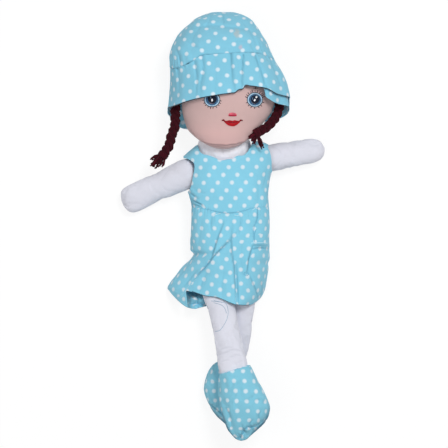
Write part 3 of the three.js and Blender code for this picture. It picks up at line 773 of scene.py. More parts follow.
STRANDS = strand_tree()
PLAIT = plait_tree()


def threads(name, lines, girths, tints, finish, sides=6):
    return grown(line_mesh(name, lines, girths, tints), STRANDS, FINISH[finish], {"Sides": sides})


def varied(tint, depth):
    """A tint a little lighter or darker than the given one."""
    share = 1 + CHANCE.uniform(-depth, depth)
    return tuple(min(255, value * share) for value in tint)


# Head
HEAD_RINGS = [  # y, left, right, back, front, how far the chin dips in front
    (101.6, 2.4, 2.6, 29.9, 30.1, 0), (101.3, -13, 18, 20, 42, 4), (101.4, -22, 27, 14, 54, 12.4),
    (102.8, -28.6, 33, 10.5, 64, 13.4), (106, -34, 37.6, 8.3, 71.5, 11.6),
    (112, -38.8, 42.4, 6.5, 78, 8.4), (121, -42.3, 50, 4.8, 83.2, 5), (131, -45, 57.2, 3.6, 86.8, 2.6),
    (142, -46, 61, 2.8, 88.8, 1), (158, -46, 61.5, 2.7, 89.9, 0.2), (176, -41.6, 57, 4.6, 87.4, 0),
    (192, -33.6, 49.6, 9.4, 82, 0), (204, -23, 39, 17.6, 73.4, 0), (212, -13, 28.6, 26.6, 65, 0),
    (216.2, -3, 18.6, 35.4, 56.6, 0), (217.2, 7.6, 7.8, 45.8, 46, 0),
]
CHIN_SEAM = [
    (-33, 108), (-26.5, 99.6), (-20, 97), (-12.9, 95.2), (3, 93.5), (15, 94.6), (22, 96.4), (27, 98.6),
    (32.4, 103.1), (36, 109),
]


def add_head():
    points, angles, chain = ring_grid(HEAD_RINGS, 120, 144, 2.1)
    points[..., 1] -= chain[:, 5] * np.clip(np.sin(angles), 0, 1) ** 1.5
    normals = normals_of(points)
    uneven = ripple(points, 34, 0.9, 3.1) + ripple(points, 11, 0.22, 7.7)
    points = points + normals * uneven[..., None] * ease(points[..., 1:2], 100, 112)
    gap, share, length = line_distance(seen(points), smooth_line(CHIN_SEAM, 40, by=2))
    upright = normals_of(points)[..., 2] * np.sign(normals[40, 72, 2])
    front = ease(points[..., 2], 36, 58) * ease(upright, 0.08, 0.4)
    groove = bell(gap, 0.8) + 0.7 * bell(gap + 2.6, 0.7)
    tucks = np.sin(share * length / 2.3 + 2 * np.sin(share * 9)) * bell(gap + 1, 3.4) * 0.35
    roll = bell(gap + 1.3, 1.0) * 0.5
    points = points + normals * ((roll + tucks - 1.2 * groove) * front)[..., None]
    points[:, -1] = points[:, 0]
    # painted shade in the chin seam's groove and a second crease beside it
    depth = 0.8 * bell(gap, 0.6) + 0.65 * bell(gap + 2.6, 0.55)
    obj = outwards(cloth_mesh("head_cloth", points, with_crease_shade(cloth_uv(points), depth * front)))
    declare(obj, "face", "head", "skin_cotton", "face_panel", "head_back_panel", "head_stuffing")
    return obj


# Embroidery, laid thread by thread on the face
NAVY = (14, 24, 48)
IRIS = (58, 104, 142)
IRIS_EDGE = (52, 92, 132)
RING = (178, 208, 228)
SNOW = (250, 252, 255)
ROSE = (224, 108, 126)
DARK_ROSE = (176, 36, 66)
RED = (170, 14, 32)
LOWER_RED = (184, 18, 34)
DARK_RED = (112, 8, 24)
THREAD = 0.25
STITCH_POINTS = 5
STITCH_BOW = 0.12


def on_cloth(look, line, rise):
    """Lifts (x, y) places on to the cloth, a little proud of it."""
    lifted = []
    for x, y in line:
        found = look(x, y)
        if found:
            place, normal = found
            lifted.append(np.array(place) / MM + np.array(normal) * rise)
    return lifted


class Needle:
    """Collects embroidery stitches on one cloth."""

    def __init__(self, look):
        self.look = look
        self.lines = []
        self.girths = []
        self.tints = []

    def stitch(self, start, end, tint, girth=THREAD, rise=0.16):
        shares = np.linspace(0, 1, STITCH_POINTS)
        places = [(start[0] + (end[0] - start[0]) * t, start[1] + (end[1] - start[1]) * t) for t in shares]
        line = on_cloth(self.look, places, rise)
        if len(line) < STITCH_POINTS:
            return
        for place, t in zip(line, shares):
            place[2] += STITCH_BOW * math.sin(math.pi * t)
        self.lines.append(line)
        self.girths.append(list(girth * np.sin(np.pi * np.linspace(0.12, 0.88, STITCH_POINTS)) ** 0.5))
        self.tints.append(varied(tint, 0.1))

    def ring(self, centre, inner, outer, tint):
        """Satin stitches across a ring of ovals, side by side."""
        mean = (sum(inner) + sum(outer)) / 4
        count = max(6, int(2 * math.pi * mean / (THREAD * 1.5)))
        for i in range(count + 1):
            angle = math.radians(360 * i / count)
            way = np.array([math.cos(angle), math.sin(angle)])
            self.stitch(centre + inner * way, centre + outer * way, tint)

    def patch(self, centre, radii, tint, turn, rise):
        """Parallel satin stitches that fill an oval; turn is the stitches' own direction."""
        angle = math.radians(turn)
        way = np.array([math.cos(angle), math.sin(angle)])
        across = np.array([-way[1], way[0]])
        wide = math.hypot(radii[0] * across[0], radii[1] * across[1])
        count = max(2, int(2 * wide / (THREAD * 1.5)))
        for i in range(count + 1):
            off = across * (-wide + 2 * wide * (i + 0.001) / (count + 0.002))
            half = self.half_chord(off, way, radii)
            if half > 0.1:
                self.stitch(centre + off - way * half, centre + off + way * half, tint, rise=rise)

    @staticmethod
    def half_chord(base, way, radii):
        a = (way[0] / radii[0]) ** 2 + (way[1] / radii[1]) ** 2
        b = base[0] * way[0] / radii[0] ** 2 + base[1] * way[1] / radii[1] ** 2
        c = (base[0] / radii[0]) ** 2 + (base[1] / radii[1]) ** 2 - 1
        inside = b * b - a * c
        return math.sqrt(inside) / a if inside > 0 else 0

    def piece(self, name, slot, node):
        obj = threads(f"{name}_stitching", self.lines, self.girths, self.tints, "silk", 5)
        declare(obj, None, "head", slot, node)


EYES = {
    "right": {
        "centre": (-10.9, 146.0), "ring": (9.1, 8.3), "pupil": (-10.6, 147.2), "spread": (5.6, 6.0),
        "lights": [  # place, radii, tint, turn and rise
            ((-10.8, 145.4), (1.1, 1.8), SNOW, 90, 0.5),
            ((-12.4, 148.6), (0.8, 1.3), (120, 150, 180), 90, 0.45),
        ],
        "lashes": [(188, 352, 10, 2.3)],  # from and to, in degrees, how many and how long
        "brow": [],
    },
    "left": {
        "centre": (38.7, 145.9), "ring": (8.9, 8.3), "pupil": (39.2, 146.9), "spread": (5.5, 5.9),
        "lights": [
            ((40.2, 149.0), (0.9, 1.7), SNOW, 62, 0.5), ((38.3, 145.4), (0.9, 1.9), SNOW, 66, 0.5),
            ((35.8, 147.2), (0.7, 1.4), (96, 132, 168), 90, 0.45),
        ],
        "lashes": [(200, 340, 7, 2.3), (14, 166, 11, 2.8)],
        "brow": [((39.4, 158.4), (39.6, 160.6), 0.5), ((36.8, 159.4), (42.6, 159.2), 0.4)],
    },
}


def add_eye(side, look):
    eye = EYES[side]
    centre, ring, spread = (np.array(eye[key]) for key in ("centre", "ring", "spread"))
    iris = ring - (1.9, 1.7)
    needle = Needle(look)
    needle.ring(centre, ring - 0.3, ring + 0.35, NAVY)
    needle.ring(centre, iris - 0.2, ring - 0.3, RING)
    needle.ring(centre, iris - 0.5, iris + 0.1, IRIS_EDGE)
    needle.ring(centre, spread - 0.9, iris - 0.4, IRIS)
    for place, radii, tint, turn, rise in [(eye["pupil"], spread, NAVY, 90, 0.22)] + eye["lights"]:
        needle.patch(np.array(place), radii, tint, turn, rise)
    for low, high, count, long in eye["lashes"]:
        for i in range(count):
            angle = math.radians(low + (high - low) * i / (count - 1) + CHANCE.uniform(-2, 2))
            reach = long * CHANCE.uniform(0.8, 1.15)
            start = centre + (ring + 0.2) * (math.cos(angle), math.sin(angle))
            leaning = angle + 0.35 * CHANCE.uniform(-1, 1)
            end = start + reach * np.array([math.cos(leaning), math.sin(leaning)])
            needle.stitch(start, end, NAVY, girth=0.44)
    for start, end, girth in eye["brow"]:
        needle.stitch(start, end, NAVY, girth=girth)
    needle.piece(f"{side}_eye", "eye_thread", f"{side}_eye")


NOSE_X = 12.8
NOSE_HALF = 4.6
MOUTH_X = 12.4


def add_nose(look):
    needle = Needle(look)
    count = 24
    for i in range(count):
        x = -NOSE_HALF + 2 * NOSE_HALF * i / (count - 1)
        lift = math.sqrt(max(0.0, 1 - (x / 4.9) ** 2))
        low = NOSE_X + x * 0.95
        needle.stitch((NOSE_X + x, 127.8), (NOSE_X + x, 128.2 + 2.9 * lift), ROSE)
        needle.stitch((low, 126.7 + 0.3 * (1 - lift)), (low, 128.6), DARK_ROSE, rise=0.34)
    needle.piece("nose", "nose_thread", "nose")


LIP_ROWS = [  # x, bottom, middle, top of the lips
    (-12.6, 121.0, 121.3, 122.1), (-11.2, 120.9, 121.6, 123.0), (-9.6, 120.2, 121.2, 123.2),
    (-8.2, 118.8, 120.6, 121.7), (-6, 116.8, 120.2, 121.6), (-3, 115.5, 119.8, 122.2),
    (0, 115.1, 119.5, 121.6), (3, 115.4, 119.8, 122.2), (6, 117, 120.3, 121.7), (8.2, 118.9, 120.6, 121.8),
    (9.6, 120.3, 121.2, 123.0), (11.2, 120.9, 121.6, 122.8), (12.6, 121.2, 121.5, 122.2),
]


def add_mouth(look):
    needle = Needle(look)
    count = 66
    for i in range(count + 1):
        x = -12.2 + 24.4 * i / count
        bottom, middle, top = table_at(LIP_ROWS, x)
        shade = RED if abs(x) < 9.4 else DARK_RED
        needle.stitch((MOUTH_X + x, middle - 0.3), (MOUTH_X + x * 0.98, top), shade, rise=0.18)
        if abs(x) < 9.6:
            needle.stitch((MOUTH_X + x * 0.97, bottom), (MOUTH_X + x, middle), LOWER_RED)
    parting = [(MOUTH_X + x, float(table_at(LIP_ROWS, x)[1])) for x in np.linspace(-9.6, 9.6, 40)]
    line = on_cloth(look, parting, 0.45)
    needle.lines.append(line)
    needle.girths.append([0.26] * len(line))
    needle.tints.append(DARK_RED)
    needle.piece("mouth", "mouth_thread", "mouth")


# Sewing thread that shows
def sewn(name, lines, girths, tints, slot, body=None):
    """Threads on a cloth; they follow their body, or stay where they are made where none is given."""
    obj = threads(name, lines, girths, tints, "thread")
    if not body:
        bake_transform(obj)
    declare(obj, None, body, slot)


# Hat
CROWN_RINGS = [  # y, left, right, back, front
    (197.6, -59.6, 60.6, 0.5, 84.5), (206, -60.4, 56.6, 0.5, 83), (214, -59, 52.8, 0.7, 80),
    (222, -55, 48, 2.2, 74.5), (230, -48, 43, 5.4, 67.5), (237.8, -37, 37.2, 10, 60.5),
    (242.4, -27.6, 29.6, 14, 55), (245.6, -20, 21.4, 19, 50), (247.8, -13.4, 14, 25, 44.5),
    (248.9, -6.5, 7, 30.5, 39), (249.3, -0.6, -0.4, 34.6, 34.8),
]
SEAM_LINE = [  # x, how far the crown's seam lies from its level in front
    (-62, -17.4), (-52.6, -16.8), (-44, -14.2), (-34.5, -10.6), (-29, -6.6), (-24.6, -3.7), (-12, -1.8),
    (0, -0.9), (12, 0), (30, 0.4), (41, -0.1), (52, -3), (62, -6.5),
]
CROWN_FOLDS = [
    fold(1.1, 2.2, (-46, 183), (-41, 185.5), (-36, 190), (-33, 191), lip=1.4, spread=5),
    fold(1.6, 0.8, (1, 247), (2.5, 240), (3, 232)),
    fold(3, 0.9, (-40, 214), (-30, 208), (-22, 206)),
    fold(4, 1.0, (20, 240), (32, 226), (41, 208)),
    fold(4, 0.9, (-20, 236), (-30, 222), (-38, 204)),
    fold(1.8, 1.2, (-52, 205), (-49, 196), (-47, 186)),
    fold(4, 0.7, (8, 212), (22, 214), (38, 212)),
    fold(2.4, 1.2, (-34, 228), (-13, 232), (7, 230), (24, 228), (38, 222), lip=0.7, spread=5, dark=0.12),
    fold(1.6, 0.8, (-12, 246), (-14, 238), (-20, 228), dark=0.1),
]
BRIM_EDGE = [  # degrees, x, y (as seen) and z of the edge, how far the cloth bows out on the way
    (0, 79.0, 141, 42, 5), (16, 79.6, 147, 58, 5), (31, 77, 149.8, 72, 4), (46, 62, 154.4, 87, 3),
    (54, 54, 158.6, 91, 2), (64, 41, 161.2, 94.2, 1), (70, 33, 162.3, 95, 0), (74, 27, 162.6, 95.8, 0),
    (75.5, 25.6, 159.8, 96, 0), (78, 22.4, 158.8, 96, 0), (80.5, 19, 157.8, 96.2, 0),
    (82, 16.4, 155.3, 96.2, 0), (85, 12.6, 154.5, 96, 0), (98, -2.3, 152.1, 95.2, 0),
    (113, -20.9, 149.1, 92, 0), (125, -34.1, 146.4, 86.4, 0), (140, -47.6, 141.4, 76, -1),
    (158, -57.6, 138.4, 60, -2), (178, -63, 136.4, 42, -2), (197, -62.4, 131, 23, -1),
    (212, -58.4, 125, 9, 0), (224, -51, 115.5, 1.6, 0), (236, -41, 111.6, 0.7, 0), (255, -18, 114, 0.6, 0),
    (275, 10, 116, 0.6, 0), (295, 37, 118.5, 0.6, 0), (312, 56, 121.5, 1.2, 0), (326, 69.4, 124.8, 7, 1),
    (343, 78, 132, 24, 3),
]
BRIM_FOLDS = [
    fold(1.0, 1.5, (11.4, 200), (12.4, 186), (13.6, 170), (15.4, 156), lip=1.9, spread=7, open=1),
    fold(1.1, 1.3, (25.4, 198), (24.4, 180), (23.6, 158), lip=0.8, spread=6, open=1),
    fold(1.6, 1.7, (39, 197), (46, 178), (49.5, 166), (54.5, 156), lip=0.8, spread=9, open=1),
    fold(2.0, 1.5, (-22, 197), (-21, 180), (-24, 164), (-24, 150), open=1),
    fold(1.6, 1.3, (-30.5, 190), (-28.5, 172), (-29, 150), lip=0.7, spread=5, open=1),
    fold(3.0, 1.3, (-52, 184), (-49, 168), (-50, 145), open=1),
    fold(4.0, 0.8, (-8, 196), (-6, 178), (-7, 156), open=1),
    fold(2.6, 1.0, (57, 190), (66, 168), (70, 150), open=1),
]
CROWN_WALL = 1.0
FACING_WALL = 0.6
FACING_GAP = 1.75
# dark thread on the brim's edge: partly its rolled hem, partly painted shadow under the edge
BRIM_EDGE_SHADOW_THREAD = (20, 28, 46)


def seam_gathers(angles, seed):
    """Uneven little pleats where cloth is gathered into a seam."""
    spread = angles + 0.05 * np.sin(7 * angles + seed)
    return np.sin(38 * spread) * 0.6 + np.sin(61 * spread + seed) * 0.4


def around(angles):
    """Unit ways out from the hat's middle."""
    return np.stack([np.cos(angles), np.zeros_like(angles), np.sin(angles)], axis=-1)


def hat_cloth(node, points, uv, wall, ends=False):
    obj = thicken(outwards(cloth_mesh(f"{node}_cloth", points, uv, ends=ends)), wall)
    declare(obj, "hat", "hat", "dotted_cotton", node)


def add_crown(rows=96, columns=240):
    """The gathered crown; gives the line of its seam and the columns' angles."""
    crown, angles, _ = ring_grid(CROWN_RINGS, rows, columns, 2.6)
    share = np.linspace(0, 1, rows)[:, None]
    front = ease(np.sin(angles), -0.6, 0.5)
    sag = table_at(SEAM_LINE, crown[..., 0])[..., 0] * front - 3.2 * (1 - front)
    crown[..., 1] += sag * (1 - share) ** 1.6
    seam = crown[0].copy()
    gathers = seam_gathers(angles, 1.3) * 0.55 * bell(share, 0.13)
    uneven = ripple(crown, 26, 1.5, 2.2) + ripple(crown, 11, 0.7, 5.2)
    lift = (gathers - 0.4 * bell(share, 0.03) + uneven * ease(share, 0, 0.1)) * ease(crown[..., 2], 0.6, 9)
    crown = crown + normals_of(crown) * lift[..., None]
    crown, depth = crease(crown, CROWN_FOLDS, ease(crown[..., 2], 35, 60))
    # painted shade along the crown's seam groove, in broken patches
    depth = np.maximum(depth, 0.4 * bell(share, 0.008) * (0.55 + 0.45 * np.sin(7 * angles + 1)))
    crown[:, -1] = crown[:, 0]
    uv = with_crease_shade(dot_under(crown, cloth_uv(crown), (-15.8, 213.9)), depth)
    hat_cloth("hat_crown", crown, uv, CROWN_WALL, ends=True)
    return seam, angles


def add_brim(seam, angles, rows=84):
    """The flared brim, from the crown's seam to its edge; gives its points."""
    degrees = np.degrees(angles)
    edge = table_at(BRIM_EDGE + [(360,) + BRIM_EDGE[0][1:]], np.mod(degrees, 360))
    edge[:, 0], edge[:, 1] = placed(edge[:, 0], edge[:, 1], edge[:, 2])
    seam = seam - (0, 0.1, 0)
    out = around(angles)
    share = np.linspace(0, 1, rows)[:, None]
    bow = (edge[:, 3] * 4 * share * (1 - share))[..., None]
    brim = seam + (edge[:, :3] - seam) * share[..., None] + out * bow
    facing = ease(brim[..., 2], 30, 62)
    gathers = seam_gathers(angles, 4.1) * 0.6 * bell(share, 0.14)
    flutes = np.sin(9 * angles + 1.2) * 0.8 * share * facing
    uneven = ripple(brim, 22, 1.5, 8.2, (1, 0.5, 1)) + ripple(brim, 8, 0.45, 4.4, (1, 0.5, 1))
    lift = gathers - 0.35 * bell(share, 0.03) + flutes + uneven * ease(share, 0, 0.1)
    brim = brim - normals_of(brim) * (lift * ease(brim[..., 2], 0.7, 8))[..., None]
    brim, depth = crease(brim, BRIM_FOLDS, facing)
    brim[:, -1] = brim[:, 0]
    hat_cloth("hat_brim", brim, with_crease_shade(dot_under(brim, cloth_uv(brim), (-4.6, 181.1)), depth), CROWN_WALL)
    onward = brim[-1] - brim[-5]
    onward /= np.linalg.norm(onward, axis=-1, keepdims=True)
    rim = (brim[-1] + 0.5 * onward)[(degrees > 28) & (degrees < 172)]
    # painted shadow: a dark thread along the front of the brim's edge, where the brim shades the face
    sewn("hat_brim_edge_shadow_thread", [smooth_line(rim, 220)], [0.5], [BRIM_EDGE_SHADOW_THREAD], "dotted_cotton", "hat")
    return brim


def add_facing(brim, angles):
    """The brim's inner layer, which turns up at the right."""
    degrees = np.degrees(angles)
    inner = brim[4:] - around(angles) * FACING_GAP
    turned = ease(degrees, 10, 26) * (1 - ease(degrees, 55, 57))
    reach = ease(np.linspace(0, 1, len(inner)), 0.5, 1)[:, None]
    inner[..., 1] -= reach * (turned * 10.5 - 1.4 * (1 - turned))
    inner[..., 2] = np.maximum(inner[..., 2], 1.7)
    inner[..., 2] -= reach * turned * 1.5
    inner[:, -1] = inner[:, 0]
    hat_cloth("hat_brim_facing", inner, dot_under(inner, cloth_uv(inner), (-2, 178)), FACING_WALL)


def add_hat():
    seam, angles = add_crown()
    add_facing(add_brim(seam, angles), angles)


# Torso and neck
TORSO_GROWTH = 0.9  # how far the skin lies outside the frame's stuffing
TORSO_VOXEL = 4


def add_torso():
    """A closed skin a little outside the frame's stuffing."""
    shape = bmesh.new()
    shape.from_mesh(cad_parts["torso_stuffing"].data)
    bmesh.ops.remove_doubles(shape, verts=shape.verts, dist=0.02 * MM)
    bmesh.ops.recalc_face_normals(shape, faces=shape.faces)
    mesh = bpy.data.meshes.new("torso_cloth")
    shape.to_mesh(mesh)
    shape.free()
    obj = placed_mesh("torso_cloth", mesh)
    remesh = obj.modifiers.new("Remesh", "REMESH")
    remesh.mode = "VOXEL"
    remesh.voxel_size = TORSO_VOXEL * MM
    applied(obj)
    obj.modifiers.new("Relax", "SMOOTH").iterations = 2
    applied(obj)
    normals = np.zeros(len(obj.data.vertices) * 3)
    obj.data.vertices.foreach_get("normal", normals)
    places = coordinates(obj.data) + normals.reshape(-1, 3) * TORSO_GROWTH * MM
    obj.data.vertices.foreach_set("co", places.ravel())
    obj.data.update()
    puff(obj, cap=0.6, slack=0.02, frames=12)
    divide = obj.modifiers.new("Fine", "SUBSURF")
    divide.levels = divide.render_levels = 1
    applied(obj)
    obj.data.shade_smooth()
    nodes = [f"torso_{part}" for part in ("front_panel", "back_panel", "stuffing")]
    declare(obj, "white", "torso", "white_cotton", *nodes)


NECK_RINGS = [  # y, left, right, back, front
    (74.6, 2.4, 2.6, 29.8, 30.2), (75, -16, 21, 18, 41), (77, -23.6, 28.6, 13, 45),
    (82, -27, 32.6, 11.4, 47.4), (88, -27.6, 33.8, 11, 48.6), (94, -27, 33.6, 11.2, 49),
    (99, -26, 32.6, 12, 49.4), (102, -22, 28, 15, 46), (103.4, -12, 18, 21, 39),
    (103.8, 2.4, 2.6, 29.8, 30.2),
]


def add_neck():
    points, _, _ = ring_grid(NECK_RINGS, 90, 132, 2.4)
    x, y, z = np.moveaxis(points, -1, 0)
    wave = np.sin(x / 1.5 + 0.6 * np.sin(x / 4) + y * 0.05) * 0.35 + np.sin(x / 3.4 + y * 0.07) * 0.5
    lift = wave * ease(z, 30, 44) * ease(y, 78, 86) + ripple(points, 12, 0.8, 4.4) * ease(y, 76, 82)
    points = points + normals_of(points) * lift[..., None]
    points[:, -1] = points[:, 0]
    obj = outwards(cloth_mesh("neck_cloth", points, cloth_uv(points)))
    puff(obj, cap=1.0, slack=0.02, frames=12)
    declare(obj, "neck", "neck", "white_cotton", "neck_skin", "neck_stuffing")


# Dress
DRESS_WALL = 0.9
WAIST_LINE = [  # x, y of the waist seam in front
    (-40, 22), (-33, 21), (-24, 19.8), (-15, 18.2), (-2, 15), (8, 14.2), (17, 14.8), (26, 17), (34, 19.4),
    (42, 21), (58, 21.5),
]
BODICE_RINGS = [  # y, left, right, back, front
    (14, -34.6, 55.4, 0.5, 58.2), (26, -35.0, 55, 0.5, 59.2), (34, -37.6, 54.4, 0.5, 59.6),
    (44, -39, 55, 0.5, 59.4), (54, -38.6, 56.4, 0.6, 58.8), (64, -38.2, 58.6, 1.4, 57.2),
    (74, -39.4, 60.2, 3.4, 54.6), (81, -44.6, 60.4, 5, 53), (100, -46, 60.8, 6, 52.6),
]
SHOULDER_LINE = [  # x, y
    (-50, 77), (-44.6, 80.6), (-36, 88), (-26, 95.4), (-14, 97), (30, 97.4), (44, 98), (50.5, 96.4),
    (56, 92), (59, 87.4), (61, 83),
]
NECKLINE = [  # x, y
    (-30, 100), (-27.4, 92), (-25.6, 86.6), (-22, 83.2), (-15, 81.2), (-8, 78.7), (-3, 76.2), (0.5, 75.4),
    (6, 76.4), (13, 77.6), (15.5, 79.2), (18, 80.6), (25, 81.4), (29.5, 84.6), (33, 90), (37, 100),
]
ARMHOLES = [  # side sign, middle y and z, half height and half depth
    (-1, 58.8, 27, 19.5, 20.2), (1, 78.5, 27, 14.8, 13.2),
]
BODICE_FOLDS = [
    fold(0.9, 1.6, (-34, 29.5), (-28, 26.5), (-21, 22.6), lip=1.3, spread=4),
    fold(0.8, 1.2, (-34, 25), (-28, 23), (-22, 21), lip=0.9, spread=3),
    fold(1.4, 1.2, (-38, 40), (-33, 35), (-27, 31)),
    fold(3, 0.7, (-35, 46), (-28, 40), (-18, 37)),
    fold(3.2, 0.6, (41.4, 60), (42.6, 40), (41.6, 22)),
    fold(3.5, 0.9, (52, 66), (50, 52), (46, 40)),
    fold(7, 0.5, (10, 72), (4, 58), (2, 42)),
]
SKIRT_FOLDS = [
    fold(0.8, 1.5, (3, 6), (1.6, 0.8), (-3.3, -11.4), (-8.1, -26.1), (-12.2, -39.1), (-16.3, -45.6),
         (-22, -54), lip=2.4, spread=9),
    fold(0.9, 1.6, (-33.4, -65.1), (-25.2, -55.4), (-16.3, -45.6), (-8.9, -35.8), (0.8, -26.1),
         (12.2, -14.7), (17, -8), lip=2.0, spread=9),
    fold(0.9, 1.5, (17.1, -89.5), (15.5, -63.5), (14.6, -47.2), (12.2, -31), (12.2, -13.1), (12.8, 4),
         lip=1.5, spread=6),
    fold(0.8, 1.2, (19.8, -92), (19, -75), (17.9, -55), (17, -42)),
    fold(0.8, 1.6, (29.6, -58), (30.1, -52.1), (31.7, -39.1), (35, -27.7), (38, -22), lip=1.5, spread=6),
    fold(0.8, -1.1, (34.6, -21.6), (43, -21), (54, -21.6)),
    fold(1.0, 1.7, (34.8, -27.7), (43, -26), (54.8, -26.4), lip=1.4, spread=4),
    fold(0.9, 1.1, (34.6, -24), (43, -23.4), (54, -24)),
    fold(0.7, 0.9, (41.6, 20), (41.4, 8.1), (37.4, -4.9), (38, -19.6), pucker=0.25, pitch=4.5),
    fold(1.6, 1.3, (33.4, -58.6), (36, -66), (39.9, -75), (42, -86)),
    fold(1.6, 1.0, (46, -62), (47, -74), (44, -86)),
    fold(3.4, 1.1, (-37, -31), (-31, -33), (-24, -30)),
    fold(2.4, 1.1, (-44, -72), (-36, -62), (-28, -52)),
    fold(3.2, 0.9, (-54, -66), (-46, -56), (-38, -46)),
    fold(2.6, 1.0, (-26, -80), (-22, -66), (-16, -54)),
    fold(3.0, 0.9, (2, -86), (1, -70), (3, -52)),
    fold(3.4, 0.9, (24, -20), (23, -40), (26, -64)),
    fold(3.4, 0.8, (-22, 10), (-24, -8), (-27, -26)),
    fold(1.6, 0.8, (22, 12), (22, 0), (20, -10)),
    fold(1.6, 0.8, (-10, 13), (-12, 4), (-12, -6)),
]
WAIST_SEAM = fold(0.8, 0.4, *WAIST_LINE, pucker=0.3, pitch=3.4, reach=4.0, dark=0.12)
SKIRT_SIDES = [  # y rising: left, right
    (-92, -60, 40), (-84, -63.4, 46.8), (-75, -64.4, 51.2), (-66, -59.8, 53), (-58, -53.4, 54.2),
    (-50, -47.6, 55.2), (-44, -41, 54.6), (-40, -36.6, 56.2), (-36, -33.4, 56.4), (-33, -31.4, 56.2),
    (-30, -35.4, 56.1), (-24, -36.4, 56.1), (-12, -36.4, 56.1), (0, -36, 56), (10, -35.6, 55.6),
    (23, -34.4, 55),
]
SKIRT_TOPS = [  # y rising: front's height, its top's place, squareness left and right, side's start
    (-95, 53.4, 12, 1.75, 2.2, 0.8), (-75, 54, 12, 1.8, 2.3, 1.2), (-60, 55.2, 11, 1.9, 2.4, 3),
    (-45, 57, 10, 2.2, 2.5, 8), (-25, 58.6, 9.5, 2.5, 2.6, 18), (0, 59.2, 9.5, 2.6, 2.6, 26),
    (24, 58.6, 9.5, 2.6, 2.6, 29),
]
FRONT_HEM = [  # x, y
    (-64, -74), (-62, -76), (-57, -82), (-51.2, -88), (-46, -92), (-40, -95), (-33, -93.4), (-25, -89),
    (-16, -86), (-8, -85), (-2.4, -84.6), (8.9, -89.4), (15, -91.4), (21.9, -92.4), (33.4, -92.4),
    (38, -91.2), (43.1, -87.9), (48, -82), (52, -74),
]
SKIRT_OPENING = [  # x, y of the front hem's edge where it stands open
    (-41.2, -75.8), (-36, -76.6), (-31.7, -77.6), (-25, -80), (-18.7, -82), (-10, -83), (-4, -84),
    (0, -85.2), (4, -90),
]
TURNED_PANEL = {"lines": (1, 2), "turn": -14, "dot": (-5.6, -58.4)}
BACK_HEM = [
    (-63, -74.6), (-57.8, -81.6), (-48, -91.4), (-38.2, -96.6), (-31.7, -97.2), (-22, -95.4), (-14, -94),
    (0, -94), (25, -93), (40, -90), (48, -82), (52, -74),
]
# partly a dark overlock thread, partly painted shadow along the hem's edge
HEM_SHADOW_THREAD = (44, 78, 94)
DRESS_POWER = 2.6  # squareness of the bodice's ovals
SIDE_SEAM = 29.2  # height of the bodice's side seams
BACK_WAIST = 20.0
BODY_MIDDLE = 9
ARMHOLE_SIDE = 14  # how far from the middle the armholes begin
SKIRT_WAIST = 20.5  # waist of the skirt's back
SKIRT_BACK_POWER = 3.2
SKIRT_BACK_LEVEL = 0.55
FLOOR_GAP = 0.5
OPENING_EDGE = -41.6  # where the opening at the front hem begins


def waist_y(x):
    return table_at(WAIST_LINE, x)[..., 0]


def bodice_half(front, rows=110, columns=150):
    """A half of the bodice, from side seam to side seam."""
    levels = np.linspace(0, 1, rows)[:, None]
    angles = np.linspace(math.pi, 0, columns + 1)[None, :] * (1 if front else -1)
    y = 17 + 80 * levels + 0 * angles
    for _ in range(5):
        left, right, back, high = np.moveaxis(table_at(BODICE_RINGS, y), -1, 0)
        x = (left + right) / 2 + (right - left) / 2 * power_of(np.cos(angles), 2 / DRESS_POWER)
        start = waist_y(x) - 1.6 if front else BACK_WAIST + 0 * x
        top = table_at(SHOULDER_LINE, x)[..., 0]
        y = start + (top - start) * levels
    closing = np.sqrt(np.clip(1 - (np.maximum(levels - 0.78, 0) / 0.22) ** 2, 0, 1))
    reach = closing * ((high - SIDE_SEAM) if front else (SIDE_SEAM - back))
    z = SIDE_SEAM + reach * power_of(np.sin(angles), 2 / DRESS_POWER)
    z -= 1.3 * (1 - ease(y - start, 0, 1.8)) * (1 if front else -1) * (z > 1.4)
    return np.stack([x, y, z], axis=-1)


def armhole_field(points):
    x, y, z = np.moveaxis(points, -1, 0)
    field = np.full(x.shape, 1e3)
    for sign, middle_y, middle_z, high, deep in ARMHOLES:
        reach = (np.abs((y - middle_y) / high) ** 4 + np.abs((z - middle_z) / deep) ** 4) ** 0.25 - 1
        nearer = np.minimum(field, reach * ARMHOLE_SIDE)
        field = np.where(sign * (x - BODY_MIDDLE) > ARMHOLE_SIDE, nearer, field)
    return field


def add_bodice(front):
    """The bodice's front or back, cut out at the neck and the arms."""
    points = bodice_half(front)
    x, y, z = np.moveaxis(points, -1, 0)
    neck = np.full(x.shape, 86.0)
    if front:
        flat = seen(points)
        neck, y = table_at(NECKLINE, flat[..., 0])[..., 0], flat[..., 1]
    neck = np.where((x < -29.5) | (x > 36.5), 200.0, neck)
    field = np.minimum(armhole_field(points), neck - y)
    uneven = ripple(points, 24, 0.9, 6.3) + ripple(points, 8, 0.3, 1.8)
    lift = (uneven * ease(y, 17, 26) + bell(field, 1.6) * 0.5) * ease(z, 0.8, 9)
    points = points + normals_of(points) * lift[..., None]
    depth = np.zeros(x.shape)
    if front:
        points, depth = crease(points, BODICE_FOLDS + [WAIST_SEAM], ease(points[..., 2], 30, 44))
    uv = with_crease_shade(dot_under(points, cloth_uv(points), (-8.1, 67.2)), depth)
    name = "bodice_front" if front else "bodice_back"
    obj = cloth_mesh(f"{name}_cloth", *trimmed(points, uv, field), flip=front)
    face_out(obj)
    thicken(obj, DRESS_WALL)
    declare(obj, "bodice", "torso", "dotted_cotton", name)


